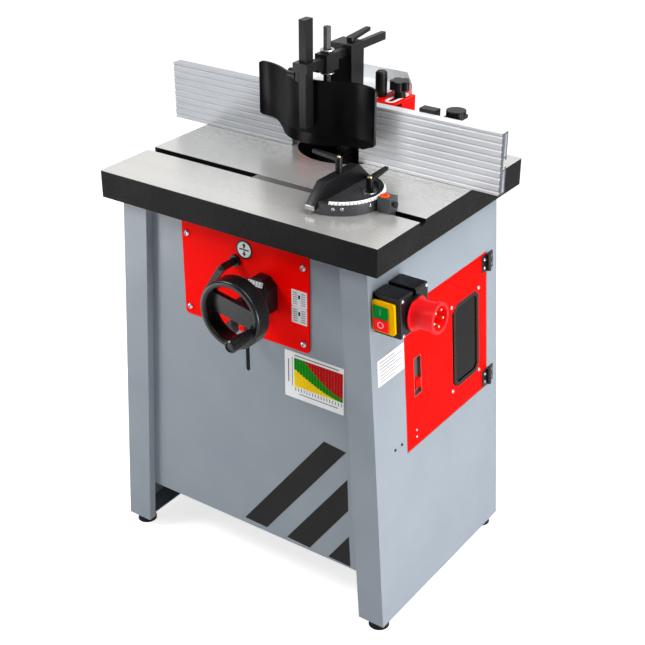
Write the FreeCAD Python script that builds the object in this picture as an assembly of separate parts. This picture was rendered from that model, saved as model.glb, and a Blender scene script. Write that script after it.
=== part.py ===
import FreeCAD, Part
import math
import os

# A spindle moulder: a splayed sheet-steel cabinet on rubber feet carries a cast table, and inside it a
# belt-driven spindle rises and falls on a dovetail slideway. Lengths are in millimetres. The spindle axis
# is x = 0, y = 0, the floor is z = 0, the operator stands at -y and the cabinet's door is on the +x side.

V = FreeCAD.Vector
RIGHT = V(1, 0, 0)
BACK = V(0, 1, 0)
UP = V(0, 0, 1)
LEFT, FRONT = -RIGHT, -BACK

# Fits shared by every piece
overrun = 5.0
gap = 0.3
running = 0.05
door_gap = 2.0
parallel_share = 0.95
volume_error_share = 1e-6

# Table
table_height = 850.0
table_width = 636.0
spindle_setback = 386.0
table_behind = 140.0
skirt_height = 55.0
skirt_wall = 14.0
table_plate = 14.0
table_corner = 2.0
hole_radius = 103.0
hole_rim = 18.0
rib_wall = 16.0
rib_inset = 20.0
slot_setback = 148.0
slot_width = 20.0
slot_depth = 9.5

# Cabinet
foot_height = 20.0
foot_radius = 21.0
foot_taper = 3.0
foot_inset = 26.0
top_half = 283.0
bottom_half = 337.0
cabinet_setback = 22.0
cabinet_back_inset = 32.0
sheet = 2.5
flange_width = 58.0
flange_return = 18.0
cap_flange = 48.0
toe_gap = 95.0
panel_lip = 15.0
panel_top_gap = 6.0

# Control plate on the front panel
plate_half = 150.0
plate_height = 210.0
plate_top_gap = 9.0
plate_thick = 3.0
plate_corner = 8.0

# Slideway, a casting under the table with a dovetail on its back and an open slot down the middle
way_half = 62.0
way_thick = 20.0
way_front = 95.0
dovetail_depth = 15.0
dovetail_neck = 40.0
dovetail_head = 52.0
way_slot_half = 28.0
way_length = 345.0
way_cap = 12.0
way_cap_half = 72.0
way_cap_reach = 48.0
way_bridge = 15.0
lug_thick = 12.0
lug_reach = 45.0
lug_half = 22.0
clamp_lug_width = 21.0
clamp_lug_height = 26.0

# Rise and fall drive: hand wheel, pinion shaft, crown gear and lead screw
drive_x = 50.0
drive_drop = 120.0
screw_front = 120.0
drive_radius = 9.0
gear_teeth = 16
gear_pitch_angle = 45.0
gear_module = 2.25
gear_face = 8.0
gear_space_share = 0.58
gear_tip_share = 0.42
gear_addendum = 1.7
gear_dedendum = 2.4
gear_back = 4.0
upstand_thick = 12.0
upstand_height = 45.0
shaft_hole = 12.0

# Hand wheel
wheel_stand = 112.0
wheel_radius = 68.0
wheel_depth = 37.0
rim_width = 13.0
rim_round = 5.0
wheel_bar_half = 19.0
wheel_bar_thick = 11.0
wheel_bar_setback = 18.0
wheel_hub_radius = 19.0
wheel_hub_length = 40.0
wheel_hub_cap = 4.0
wheel_tilt = -10.0
grip_tilt = -24.5
grip_boss = 12.0
grip_offset = 54.0
grip_radius = 12.5
grip_neck = 10.0
grip_length = 60.0
grip_round = 3.0
grip_recess = 5.0
grip_recess_radius = 8.0
pin_radius = 5.0
pin_head = 7.0
pin_head_length = 3.0
pin_shoulder = 1.0

# Position indicator on the pinion shaft
indicator_half = 28.0
indicator_height = 80.0
indicator_drop = 40.0
indicator_depth = 39.0
indicator_chamfer = 16.0
indicator_slope = 14.0

# Height clamp lever and belt tension knob, both on the front
clamp_x = -19.0
clamp_drop = 70.0
clamp_hub_radius = 7.0
clamp_hub_length = 46.0
clamp_base_radius = 12.0
clamp_base_length = 6.0
clamp_stud = 6.0
clamp_arm = 71.0
clamp_arm_thick = 9.0
clamp_arm_end = 3.5
clamp_arm_angle = -124.5
tension_drop = 189.0
tension_rod = 4.0
tension_knob_radius = 13.5
tension_knob_length = 16.0
tension_knob_round = 4.0
tension_reach = 50.0
tension_collar = 7.0
tension_collar_length = 10.0
tension_slot = 10.0
tension_slot_below = 111.0
tension_slot_above = 34.0

# Spindle carriage
carriage_drop = 250.0
carriage_height = 222.0
carriage_half = 75.0
quill_radius = 48.0
quill_height = 235.0
bearing_outer = 36.0
bearing_inner = 20.0
bearing_width = 20.0
bearing_inset = 12.0
tongue_left = 14.0
tongue_right = 26.0
tongue_reach = 45.0
tongue_rise = 11.0
tongue_height = 66.0
nut_radius = 16.0
nut_height = 24.0
nut_arm_half = 12.0
shelf_thick = 10.0
shelf_half = 58.0
shelf_end = 62.0
shelf_slot_half = 26.0
shelf_slot_length = 70.0

# Spindle
arbor_radius = 15.0
arbor_length = 128.0
shoulder_rise = 20.0
spindle_tail = 67.0
pulley_seat = 14.0
thread_radius = 12.0
thread_length = 18.0
ring_radius = 25.0
ring_heights = (10.0, 15.0, 20.0, 30.0, 40.0)
ring_edge = 1.0
nut_flat = 22.0
nut_thick = 14.0

# Belt drive
pulley_centres = 170.0
pulley_rise = 4.0
pulley_step = 18.0
spindle_low_radius = 34.0
spindle_middle_radius = 41.0
spindle_high_radius = 48.0
motor_low_radius = 66.0
motor_middle_radius = 59.0
motor_high_radius = 52.0
pulley_groove = 2.0
belt_thick = 4.0
belt_width = 12.0
belt_step = 1
motor_radius = 78.0
motor_length = 190.0
motor_cap = 22.0
motor_cap_radius = 66.0
motor_fin = 4.0
motor_fin_count = 28
motor_fin_width = 3.0
motor_shaft_radius = 12.0
motor_plate_half = 86.0
motor_plate_thick = 10.0

# Door in the right side
door_setback = 113.0
door_width = 314.0
door_sill = 346.0
door_height = 301.0
door_sheet = 2.0
door_fold = 14.0
window_setback = 176.0
window_margin = 38.0
window_sill = 57.0
window_head = 73.0
window_chamfer = 9.0
window_lap = 14.0
window_thick = 4.0
hinge_height = 36.0
hinge_leaf = 22.0
hinge_thick = 2.0
knuckle_radius = 5.0
hinge_pin = 2.5
hinge_inset = 3.0
knuckle_shares = (0.0, 0.3, 0.7, 1.0)
latch_setback = 43.0
latch_sill = 148.0
latch_width = 26.0
latch_height = 82.0
latch_depth = 9.0
latch_wall = 1.5
latch_lip = 4.0
slider_width = 18.0
slider_height = 18.0
slider_rise = 14.0
slider_proud = 1.0

# Switch box with its buttons and mains inlet
box_setback = 14.0
box_depth = 92.0
box_width = 58.0
box_height = 78.0
box_top_drop = 48.0
box_round = 4.0
box_seam = 6.0
box_seam_depth = 6.0
bezel_left = 2.0
bezel_right = 10.0
bezel_bottom = 7.0
bezel_top = 12.0
bezel_round = 4.0
bezel_thick = 6.0
bezel_strip = 13.0
button_gap = 2.0
button_margin = 3.0
button_head = 9.0
button_proud = 2.5
button_travel = 3.0
button_pocket = 14.0
inlet_flange_radius = 33.0
inlet_flange_thick = 6.0
inlet_radius = 29.0
inlet_wall = 3.5
inlet_length = 52.0
inlet_floor = 30.0
inlet_rim = 2.5
inlet_rim_length = 8.0
inlet_pin = 2.8
inlet_pin_circle = 16.0
inlet_pin_count = 5
inlet_pin_length = 19.0
inlet_drop = 4.0

# Fences
fence_front = 64.0
fence_thick = 22.0
fence_height = 120.0
fence_left_end = 402.0
fence_left_gap = 94.0
fence_right_gap = 66.0
fence_right_end = 375.0
fence_lift = 0.5
groove_count = 9
groove_depth = 1.5
groove_height = 4.0
tslot_drop = 61.0
tslot_mouth = 13.0
tslot_head = 22.0
tslot_lip = 4.0
tslot_depth = 12.0
chamber_wall = 3.0
chamber_depth = 8.0

# Hood behind the fences
hood_half = 92.0
hood_sheet = 3.0
hood_depth = 116.0
hood_height = 123.0
hood_right = 133.0
hood_wing_depth = 74.0
hood_wing_drop = 33.0
hood_wing_start = 24.0
hood_foot = 25.0
hood_foot_start = 12.0
hood_left_plate = 150.0
hood_left_margin = 10.0
back_half = 100.0
back_rise = 26.0
back_chamfer = 22.0
port_radius = 50.0
port_wall = 2.5
port_length = 60.0
port_flange = 12.0
port_drop = 58.0
handle_x = 82.0
handle_back = 30.0
handle_radius = 11.5
handle_height = 50.0
handle_round = 3.0

# Carrier of the right fence, its star knob and its knurled knob
carrier_left = 97.0
carrier_right = 300.0
carrier_thick = 5.0
carrier_bottom_gap = 8.0
carrier_top_drop = 4.0
carrier_leg_right = 128.0
carrier_leg_back = 82.0
carrier_leg_thick = 7.0
carrier_block_left = 186.0
carrier_block_width = 35.0
carrier_block_depth = 20.0
carrier_block_rise = 7.0
star_x = 114.0
star_back = 47.0
star_slot_half = 4.6
star_slot_front = 10.0
star_slot_back = 66.0
star_stud = 4.0
star_foot_radius = 12.0
star_foot_height = 14.0
star_radius = 20.0
star_height = 18.0
star_lobes = 5
star_lobe_radius = 8.0
knurl_x = 250.0
knurl_back = 28.0
knurl_radius = 19.0
knurl_height = 10.0
knurl_count = 24
knurl_notch = 1.2
knurl_shelf_half = 16.0
knurl_shelf_drop = 3.0
knurl_shelf_depth = 46.0

# Cutter guard on its post
post_half = 25.0
post_front = 30.0
post_depth = 43.0
post_rise = 214.0
post_wall = 3.0
post_cap = 4.0
post_foot = 12.0
bar_x = 8.0
bar_half = 5.0
bar_height = 16.0
bar_drop = 2.5
bar_back = 110.0
head_half = 14.0
head_front = 98.0
head_depth = 40.0
head_drop = 37.0
rod_front = 77.0
rod_radius = 8.0
rod_below = 42.0
rod_above = 84.0
rod_collar = 13.0
rod_collar_height = 4.0
neck_half = 7.0
neck_height = 24.0
neck_lift = 4.0
collar_wall = 8.0
collar_height = 18.0
collar_rise = 10.0
collar_lug = 20.0
tube_x = -10.5
tube_half = 8.0
tube_front = 144.0
tube_depth = 25.0
tube_below = 110.0
tube_above = 99.0
tube_wall = 2.0
shield_left = 168.0
shield_right = 124.0
shield_height = 126.0
shield_lip = 18.0
shield_rise = 40.0
shield_thick = 4.0
shield_back = 72.0
shield_bulge = 44.0
shield_flare = 9.0
shield_corner = 14.0
shield_end_rise = 15.0
shield_left_rise = 88.0
shield_left_flat = 50.0
shield_right_rise = 34.0
shield_along_shares = (0.0, 0.09, 0.24, 0.38, 0.52, 0.66, 0.78, 0.89, 1.0)
shield_out_shares = (0.02, 0.0, 0.38, 0.88, 1.0, 0.82, 0.42, 0.38, 0.62)
guard_lever_hub = 8.0
guard_lever_height = 9.0
guard_lever_arm = 62.0
guard_lever_end = 5.0
guard_lever_thick = 7.0
guard_lever_rise = 6.0
guard_lever_stud = 4.0
knob_radius = 10.0
knob_length = 18.0
knob_neck = 6.0
knob_neck_length = 4.0
knob_stud = 3.0

# Mitre gauge in the table's slot
gauge_inset = 174.4
gauge_bar_left = 200.0
gauge_bar_right = 112.0
gauge_bar_gap = 0.4
gauge_pivot = 5.0
gauge_pivot_height = 7.0
strip_reach = 16.0
strip_half = 80.0
strip_height = 8.0
disc_radius = 82.5
disc_height = 24.0
disc_recess = 7.0
disc_rim = 13.0
disc_bevel = 3.0
disc_setback = 4.6
pad_left = 86.4
pad_width = 27.0
pad_half = 13.0
pad_height = 29.0
fence_block_thick = 20.0
fence_block_half = 92.0
fence_block_top_half = 54.0
fence_block_height = 50.0
fence_block_foot = 15.0
gauge_stud_x = 50.0
gauge_stud_back = 18.0
gauge_stud = 4.0
gauge_washer = 12.0
gauge_washer_height = 2.0
gauge_lever_hub = 6.5
gauge_lever_height = 29.0
gauge_lever_arm = 57.0
gauge_lever_end = 3.5
gauge_lever_thick = 6.5
gauge_lever_rise = 4.0
block_stud_depth = 20.0

# Places worked out from the sizes above
table_top = table_height
table_under = table_height - skirt_height
table_half = table_width / 2
table_front_y = -spindle_setback
table_back_y = table_behind
cabinet_bottom = foot_height
cabinet_top = table_under
cabinet_front_y = table_front_y + cabinet_setback
cabinet_back_y = table_back_y - cabinet_back_inset
panel_y = cabinet_front_y + flange_return
panel_bottom = cabinet_bottom + toe_gap
panel_top = cabinet_top - panel_top_gap
plate_y = panel_y - plate_thick
plate_top = cabinet_top - plate_top_gap
plate_bottom = plate_top - plate_height
slot_y = table_front_y + slot_setback
drive_z = cabinet_top - drive_drop
clamp_z = cabinet_top - clamp_drop
tension_z = cabinet_top - tension_drop
tension_slot_bottom = tension_z - tension_slot_below
tension_slot_top = tension_z + tension_slot_above
carriage_bottom = cabinet_top - carriage_drop
tongue_bottom = carriage_bottom + tongue_rise
tongue_top = tongue_bottom + tongue_height
spindle_bottom = carriage_bottom - spindle_tail
pulley_bottom = spindle_bottom + pulley_rise
arbor_shoulder = carriage_bottom + quill_height + shoulder_rise
arbor_top = arbor_shoulder + arbor_length
splay = (bottom_half - top_half) / (cabinet_top - cabinet_bottom)
lean = V(-splay, 0, 1).normalize()
outward = V(1, 0, splay).normalize()
way_y = -way_front
way_back_y = way_y + way_thick
way_bottom = table_under - way_length
carriage_y = way_back_y + gap
screw_y = -screw_front
gear_pitch_radius = gear_module * gear_teeth / 2
crown_seat = drive_z - gear_pitch_radius - gear_back
wheel_back_y = plate_y - wheel_stand + wheel_depth
wheel_front_y = wheel_back_y - wheel_depth
wheel_seat_y = wheel_front_y + wheel_bar_setback + wheel_hub_cap
spindle_steps = (spindle_low_radius, spindle_middle_radius, spindle_high_radius)
motor_steps = (motor_low_radius, motor_middle_radius, motor_high_radius)
belt_bottom = pulley_bottom + pulley_step * belt_step + (pulley_step - belt_width) / 2
shelf_bottom = carriage_bottom
motor_plate_bottom = shelf_bottom + shelf_thick + gap
motor_bottom = motor_plate_bottom + motor_plate_thick
door_front_y = cabinet_front_y + door_setback
door_back_y = door_front_y + door_width
door_bottom = cabinet_bottom + door_sill
door_top = door_bottom + door_height
window_width = door_width - window_setback - window_margin
window_height = door_height - window_sill - window_head
window_front_y = door_front_y + window_setback
window_bottom = door_bottom + window_sill
hinge_y = door_back_y + door_gap / 2 + hinge_thick
latch_front_y = door_front_y + latch_setback - latch_width / 2
latch_bottom = door_bottom + latch_sill - latch_height / 2
box_front_y = cabinet_front_y + box_setback
box_back_y = box_front_y + box_depth
box_top = cabinet_top - box_top_drop
box_bottom = box_top - box_height
box_split_y = (box_front_y + box_back_y) / 2
fence_y = -fence_front
fence_back_y = fence_y + fence_thick
fence_bottom = table_top + fence_lift
fence_top = fence_bottom + fence_height
hood_y = fence_back_y + gap
hood_back_y = hood_y + hood_depth
hood_bottom = table_top + gap
hood_top = hood_bottom + hood_height
port_z = hood_top - port_drop
post_y = -post_front
post_top = table_top + post_rise
head_bottom = post_top - head_drop
rod_bottom = head_bottom - rod_below
rod_top = head_bottom + rod_above
collar_bottom = head_bottom + collar_rise
tube_bottom = collar_bottom - tube_below
tube_top = collar_bottom + tube_above
shield_bottom = table_top + shield_rise
shield_wall_bottom = shield_bottom + shield_lip
shield_top = shield_bottom + shield_height
bar_top = post_top - bar_drop
bar_bottom = bar_top - bar_height
head_y = -head_front
tube_y = -tube_front
knob_z = collar_bottom - collar_lug / 2
shield_y = -shield_back
gauge_x = table_half - gauge_inset
pad_x = gauge_x + pad_left
gauge_lever_x = gauge_x + gauge_stud_x
gauge_lever_y = slot_y + gauge_stud_back
gauge_bar_top = table_top - gauge_bar_gap
gauge_disc_bottom = table_top + gap


def box(x0, x1, y0, y1, z0, z1):
    """A block between two corners."""
    return Part.makeBox(x1 - x0, y1 - y0, z1 - z0, V(x0, y0, z0))


def rod(base, direction, radius, length):
    """A round bar that starts at base."""
    return Part.makeCylinder(radius, length, base, direction)


def pipe(base, direction, outer, inner, length):
    """A round tube that starts at base."""
    bore = rod(base - direction * overrun, direction, inner, length + 2 * overrun)
    return rod(base, direction, outer, length).cut(bore)


def prism(points, travel):
    """A polygon pushed along a straight line."""
    return Part.Face(Part.makePolygon(points + points[:1])).extrude(travel)


def prism_x(points, x0, x1):
    """A polygon in y and z between two x planes."""
    return prism([V(x0, y, z) for y, z in points], V(x1 - x0, 0, 0))


def prism_y(points, y0, y1):
    """A polygon in x and z between two y planes."""
    return prism([V(x, y0, z) for x, z in points], V(0, y1 - y0, 0))


def prism_z(points, z0, z1):
    """A polygon in x and y between two levels."""
    return prism([V(x, y, z0) for x, y in points], V(0, 0, z1 - z0))


def turned(points, base, axis):
    """A profile of (radius, height) points turned about an axis through base."""
    placed = [V(radius, 0, height) for radius, height in points]
    shape = Part.Face(Part.makePolygon(placed + placed[:1])).revolve(V(0, 0, 0), UP, 360)
    shape.Placement = FreeCAD.Placement(base, FreeCAD.Rotation(UP, axis))
    return shape


def joined(shapes):
    """Pieces of one casting or weldment made into one solid, its split faces merged where that is safe."""
    whole = shapes[0].fuse(shapes[1:])
    merged = whole.removeSplitter()
    safe = merged.isValid() and abs(merged.Volume - whole.Volume) < volume_error_share * whole.Volume
    return merged if safe else whole


def rounded(shape, radius, direction):
    """The straight edges along one direction, rounded."""
    edges = [edge for edge in shape.Edges if len(edge.Vertexes) == 2
             and abs(edge.tangentAt(edge.FirstParameter).dot(direction)) > parallel_share]
    return shape.makeFillet(radius, edges)


def half_at(z):
    """Half the cabinet's width at a level."""
    return bottom_half - splay * (z - cabinet_bottom)


def splayed(side, inset0, inset1, y0, y1, z0, z1):
    """A plate that follows a side of the cabinet, between two insets from its outer face."""
    points = [(side * (half_at(z0) - inset0), z0), (side * (half_at(z0) - inset1), z0),
              (side * (half_at(z1) - inset1), z1), (side * (half_at(z1) - inset0), z1)]
    return prism_y(points, y0, y1)


def across(inset, y0, y1, z0, z1):
    """A plate from side to side of the cabinet, with its ends following the splay."""
    low, high = half_at(z0) - inset, half_at(z1) - inset
    return prism_y([(-low, z0), (low, z0), (high, z1), (-high, z1)], y0, y1)


def side_point(proud, y, z):
    """A point over the right side's outer face."""
    return V(half_at(z), y, z) + outward * proud


def grouped(shapes):
    """One solid as it is, or a list of solids as a group."""
    return shapes if isinstance(shapes, Part.Shape) else Part.makeCompound(shapes)


def side_panel(side):
    """A folded side: plate, front and back flanges with their returns, and top and bottom flanges."""
    front, back = cabinet_front_y, cabinet_back_y
    low, high = cabinet_bottom, cabinet_top
    inner = flange_width - sheet
    panel = [splayed(side, 0, sheet, front, back, low, high),
             splayed(side, 0, flange_width, front, front + sheet, low, high),
             splayed(side, inner, flange_width, front, panel_y, low, high),
             splayed(side, 0, flange_width, back - sheet, back, low, high),
             splayed(side, inner, flange_width, back - flange_return, back, low, high),
             splayed(side, 0, cap_flange, front, back, low, low + sheet),
             splayed(side, 0, cap_flange, front, back, high - sheet, high)]
    return joined(panel)


def right_side_panel():
    """The right side, with the opening for the door."""
    opening = splayed(1, -overrun, flange_return, door_front_y - door_gap, door_back_y + door_gap,
                      door_bottom - door_gap, door_top + door_gap)
    return side_panel(1).cut(opening)


def slot_cutter(y0, y1, width):
    """The upright slot that the tension knob's rod rides in."""
    half = width / 2
    low, high = tension_slot_bottom, tension_slot_top
    shape = box(-half, half, y0, y1, low, high)
    ends = [rod(V(0, y0, z), BACK, half, y1 - y0) for z in (low, high)]
    return shape.fuse(ends)


def front_holes(y0, y1):
    """What passes through the front: the pinion shaft, the clamp stud and the tension rod."""
    length = y1 - y0
    return [rod(V(drive_x, y0, drive_z), BACK, shaft_hole, length),
            rod(V(clamp_x, y0, clamp_z), BACK, clamp_stud + pin_shoulder, length),
            slot_cutter(y0, y1, tension_slot)]


def front_panel():
    """The recessed front sheet, folded back along its bottom."""
    inset = flange_width - sheet
    panel = joined([across(inset, panel_y, panel_y + sheet, panel_bottom, panel_top),
                    across(inset + sheet, panel_y, panel_y + panel_lip, panel_bottom, panel_bottom + sheet)])
    return panel.cut(front_holes(panel_y - overrun, panel_y + sheet + overrun))


def rear_panel():
    """The plain back sheet between the rear returns."""
    back = cabinet_back_y - flange_return
    inset = flange_width - sheet
    return joined([across(inset, back - sheet, back, panel_bottom, panel_top),
                   across(inset + sheet, back - panel_lip, back, panel_bottom, panel_bottom + sheet)])


def rubber_feet():
    """Four tapered round feet under the bottom flanges."""
    profile = [(0, 0), (foot_radius, 0), (foot_radius - foot_taper, foot_height), (0, foot_height)]
    xs = bottom_half - foot_inset
    ys = (cabinet_front_y + foot_inset, cabinet_back_y - foot_inset)
    return [turned(profile, V(side * xs, y, 0), UP) for side in (-1, 1) for y in ys]


def control_plate():
    """The plate behind the hand wheel, with rounded corners."""
    plate = rounded(box(-plate_half, plate_half, plate_y, panel_y, plate_bottom, plate_top), plate_corner,
                    BACK)
    return plate.cut(front_holes(plate_y - overrun, panel_y + overrun))


def table_ribs():
    """Ribs under the table: one over each side panel, and a cross rib each side of the hole."""
    low, high = table_under, table_top - table_plate
    rail = top_half - rib_inset
    front, back = table_front_y + skirt_wall, table_back_y - skirt_wall
    ribs = [box(side * rail - rib_wall / 2, side * rail + rib_wall / 2, front, back, low, high)
            for side in (-1, 1)]
    slot_rib = slot_width + rib_wall
    ribs.append(box(-table_half + skirt_wall, table_half - skirt_wall, slot_y - slot_rib / 2,
                    slot_y + slot_rib / 2,
                    table_top - table_plate - slot_depth, high))
    return ribs


def table():
    """The cast table: plate, skirt, ribs and ring rib, with the spindle hole and the gauge slot cut."""
    low = table_under
    block = rounded(box(-table_half, table_half, table_front_y, table_back_y, low, table_top), table_corner,
                    UP)
    hollow = box(-table_half + skirt_wall, table_half - skirt_wall, table_front_y + skirt_wall,
                 table_back_y - skirt_wall, low - overrun, table_top - table_plate)
    ring = rod(V(0, 0, low), UP, hole_radius + hole_rim, skirt_height - table_plate)
    body = joined([block.cut(hollow)] + table_ribs() + [ring])
    hole = rod(V(0, 0, low - overrun), UP, hole_radius, skirt_height + 2 * overrun)
    slot = box(-table_half - overrun, table_half + overrun, slot_y - slot_width / 2, slot_y + slot_width / 2,
               table_top - slot_depth, table_top + overrun)
    return body.cut([hole, slot])


def way_profile(extra):
    """The dovetail's outline in plan, grown by a clearance."""
    neck, head = dovetail_neck + extra, dovetail_head + extra
    back = way_back_y + dovetail_depth + extra
    return [(-neck, way_back_y), (neck, way_back_y), (head, back), (-head, back)]


def gear_bracket():
    """Lugs on the slideway for the lead screw's two ends and the pinion shaft."""
    left, right = drive_x - lug_half, drive_x + lug_half
    front = way_y - lug_reach - upstand_thick * 2
    seat = crown_seat - gap
    upper = box(left, right, front, way_y, seat - lug_thick, seat)
    upstand = box(left, right, front, front + upstand_thick, seat, seat + upstand_height)
    lower = box(left, right, way_y - lug_reach, way_y, way_bottom, way_bottom + way_bridge)
    return [upper, upstand, lower]


def slideway():
    """The casting that hangs from the table and guides the carriage."""
    rails = joined([box(-way_half, way_half, way_y, way_back_y, way_bottom, table_under),
                    prism_z(way_profile(0), way_bottom, table_under)])
    slot = box(-way_slot_half, way_slot_half, way_y - overrun, way_back_y + dovetail_depth + overrun,
               way_bottom + way_bridge, table_under - way_cap)
    cap = box(-way_cap_half, way_cap_half, way_y - way_cap_reach, way_back_y, table_under - way_cap,
              table_under)
    lug_right = clamp_lug_width - way_slot_half
    lug = box(-way_slot_half - running, lug_right, way_y, way_y + lug_thick,
              clamp_z - clamp_lug_height / 2, clamp_z + clamp_lug_height / 2)
    casting = joined([rails.cut(slot), cap, lug] + gear_bracket())
    screw_bore = rod(V(drive_x, screw_y, way_bottom - overrun), UP, drive_radius + running,
                     crown_seat - way_bottom + overrun)
    shaft_bore = rod(V(drive_x, way_y - lug_reach * 2, drive_z), BACK, drive_radius + running, lug_reach)
    stud_bore = rod(V(clamp_x, way_y - overrun, clamp_z), BACK, clamp_stud + running, lug_thick + 2 * overrun)
    return casting.cut([screw_bore, shaft_bore, stud_bore])


def bevel_gear(turn):
    """A mitre gear about +z with its cone's apex at the origin and its teeth facing up, below the apex."""
    pitch = gear_pitch_radius
    cone = pitch * math.sqrt(2)
    tip = math.radians(gear_pitch_angle) - math.atan2(gear_addendum, cone)
    root = math.radians(gear_pitch_angle) + math.atan2(gear_dedendum, cone)
    inner_share = (cone - gear_face) / cone
    outer_tip = (cone * math.cos(tip), -cone * math.sin(tip))
    inner_tip = (outer_tip[0] * inner_share, outer_tip[1] * inner_share)
    blank = turned([(0, inner_tip[1]), inner_tip, outer_tip, (outer_tip[0], -pitch - gear_back),
                    (0, -pitch - gear_back)], V(0, 0, 0), UP)
    return blank.cut([tooth_space(cone, tip, root, turn + 360.0 * i / gear_teeth) for i in range(gear_teeth)])


def tooth_space(cone, tip, root, angle):
    """One tapered gap between teeth, which runs towards the apex."""
    pitch_width = math.pi * gear_module
    wires = []
    for share in ((cone - gear_face - overrun) / cone, (cone + overrun) / cone):
        top = gear_space_share * pitch_width * share
        bottom = gear_tip_share * pitch_width * share
        brim = tip - (root - tip) / 2
        high = cone * share * math.cos(brim), -cone * share * math.sin(brim)
        low = cone * share * math.cos(root), -cone * share * math.sin(root)
        corners = [V(high[0], -top, high[1]), V(high[0], top, high[1]),
                   V(low[0], bottom / 2, low[1]), V(low[0], -bottom / 2, low[1])]
        wires.append(Part.makePolygon(corners + corners[:1]))
    space = Part.makeLoft(wires, True, True)
    space.rotate(V(0, 0, 0), UP, angle)
    return space


def crown_gear():
    """The gear on the lead screw, a tooth towards the pinion."""
    gear = bevel_gear(360.0 / gear_teeth / 2)
    gear.rotate(V(0, 0, 0), UP, -90)
    gear.translate(V(drive_x, screw_y, drive_z))
    bore = rod(V(drive_x, screw_y, crown_seat - overrun), UP, drive_radius, gear_pitch_radius + overrun)
    return gear.cut(bore)


def handwheel_shaft():
    """The shaft from the hand wheel to the pinion cut on its inner end."""
    pinion = bevel_gear(0)
    pinion.rotate(V(0, 0, 0), RIGHT, -90)
    pinion.rotate(V(0, 0, 0), BACK, 90)
    pinion.translate(V(drive_x, screw_y, drive_z))
    start = wheel_seat_y
    end = screw_y - gear_pitch_radius - gear_back
    return joined([rod(V(drive_x, start, drive_z), BACK, drive_radius, end - start + running), pinion])


def lead_screw():
    """The upright screw, from its lower lug to the crown gear's bore."""
    start = way_bottom + pin_shoulder
    top = drive_z - gear_pitch_radius + gear_back / 2
    return rod(V(drive_x, screw_y, start), UP, drive_radius, top - start)


def wheel_bar():
    """The flat web across the hand wheel, which carries the hub."""
    reach = wheel_radius - rim_width / 2
    y0 = wheel_front_y + wheel_bar_setback
    return box(-reach, reach, y0, y0 + wheel_bar_thick, -wheel_bar_half, wheel_bar_half)


def handwheel():
    """A dished wheel with a round-edged rim, a web across it and a hub behind."""
    inner = wheel_radius - rim_width
    ring = turned([(inner, 0), (wheel_radius, 0), (wheel_radius, wheel_depth), (inner, wheel_depth)],
                  V(0, wheel_front_y, 0), BACK)
    rim = ring.makeFillet(rim_round, [edge for edge in ring.Edges if edge.isClosed()])
    hub = rod(V(0, wheel_front_y + wheel_bar_setback, 0), BACK, wheel_hub_radius, wheel_hub_length)
    wheel = joined([rim, wheel_bar(), hub])
    wheel.rotate(V(0, 0, 0), BACK, -wheel_tilt)
    wheel.translate(V(drive_x, 0, drive_z))
    boss = rod(grip_point(wheel_front_y + rim_round), BACK, grip_boss,
               wheel_bar_setback + wheel_bar_thick - rim_round)
    bore = rod(V(drive_x, wheel_seat_y, drive_z), BACK, drive_radius, wheel_hub_length)
    pin_bore = rod(grip_point(wheel_front_y), BACK, pin_radius, wheel_depth)
    return joined([wheel, boss]).cut([bore, pin_bore])


def grip_point(y):
    """A point on the crank grip's axis."""
    angle = math.radians(grip_tilt)
    return V(drive_x + grip_offset * math.cos(angle), y, drive_z + grip_offset * math.sin(angle))


def crank_pin():
    """The bolt that the grip turns on, with a flat head inside the grip's end."""
    web_back = wheel_front_y + wheel_bar_setback + wheel_bar_thick
    head_y0 = wheel_front_y - grip_length + grip_recess - pin_head_length - gap
    stem = rod(grip_point(head_y0), BACK, pin_radius, web_back - head_y0)
    return joined([stem, rod(grip_point(head_y0), BACK, pin_head, pin_head_length)])


def crank_grip():
    """A turned grip, thinner at the wheel, with a recess in its free end."""
    profile = [(0, gap), (grip_neck, gap), (grip_radius, grip_length / 2),
               (grip_radius, grip_length - grip_round), (grip_radius - grip_round, grip_length),
               (0, grip_length)]
    grip = turned(profile, grip_point(wheel_front_y), FRONT)
    bore = rod(grip_point(wheel_front_y + overrun), FRONT, pin_radius + running, grip_length + 2 * overrun)
    recess = rod(grip_point(wheel_front_y - grip_length + grip_recess), FRONT, grip_recess_radius,
                 grip_recess + overrun)
    return grip.cut([bore, recess])


def position_indicator():
    """The counter housing round the shaft, with cut corners and a sloped top front edge."""
    left, right = drive_x - indicator_half, drive_x + indicator_half
    low = drive_z - indicator_drop
    high = low + indicator_height
    cut = indicator_chamfer
    outline = [(left + cut, low), (right - cut, low), (right, low + cut), (right, high - cut),
               (right - cut, high), (left + cut, high), (left, high - cut), (left, low + cut)]
    front = plate_y - indicator_depth
    housing = prism_y(outline, front, plate_y)
    wedge = prism_x([(front, high - 2 * cut), (front, high), (front + indicator_slope, high)],
                    left - overrun, right + overrun)
    bore = rod(V(drive_x, front - overrun, drive_z), BACK, drive_radius + running,
               indicator_depth + 2 * overrun)
    return housing.cut([wedge, bore])


def tapered_arm(root_radius, end_radius, length, y0, y1):
    """A flat arm along +x with round ends, thinner at its tip."""
    body = prism_y([(0, -root_radius), (length, -end_radius), (length, end_radius), (0, root_radius)], y0, y1)
    ends = [rod(V(0, y0, 0), BACK, root_radius, y1 - y0), rod(V(length, y0, 0), BACK, end_radius, y1 - y0)]
    return joined([body] + ends)


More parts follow.
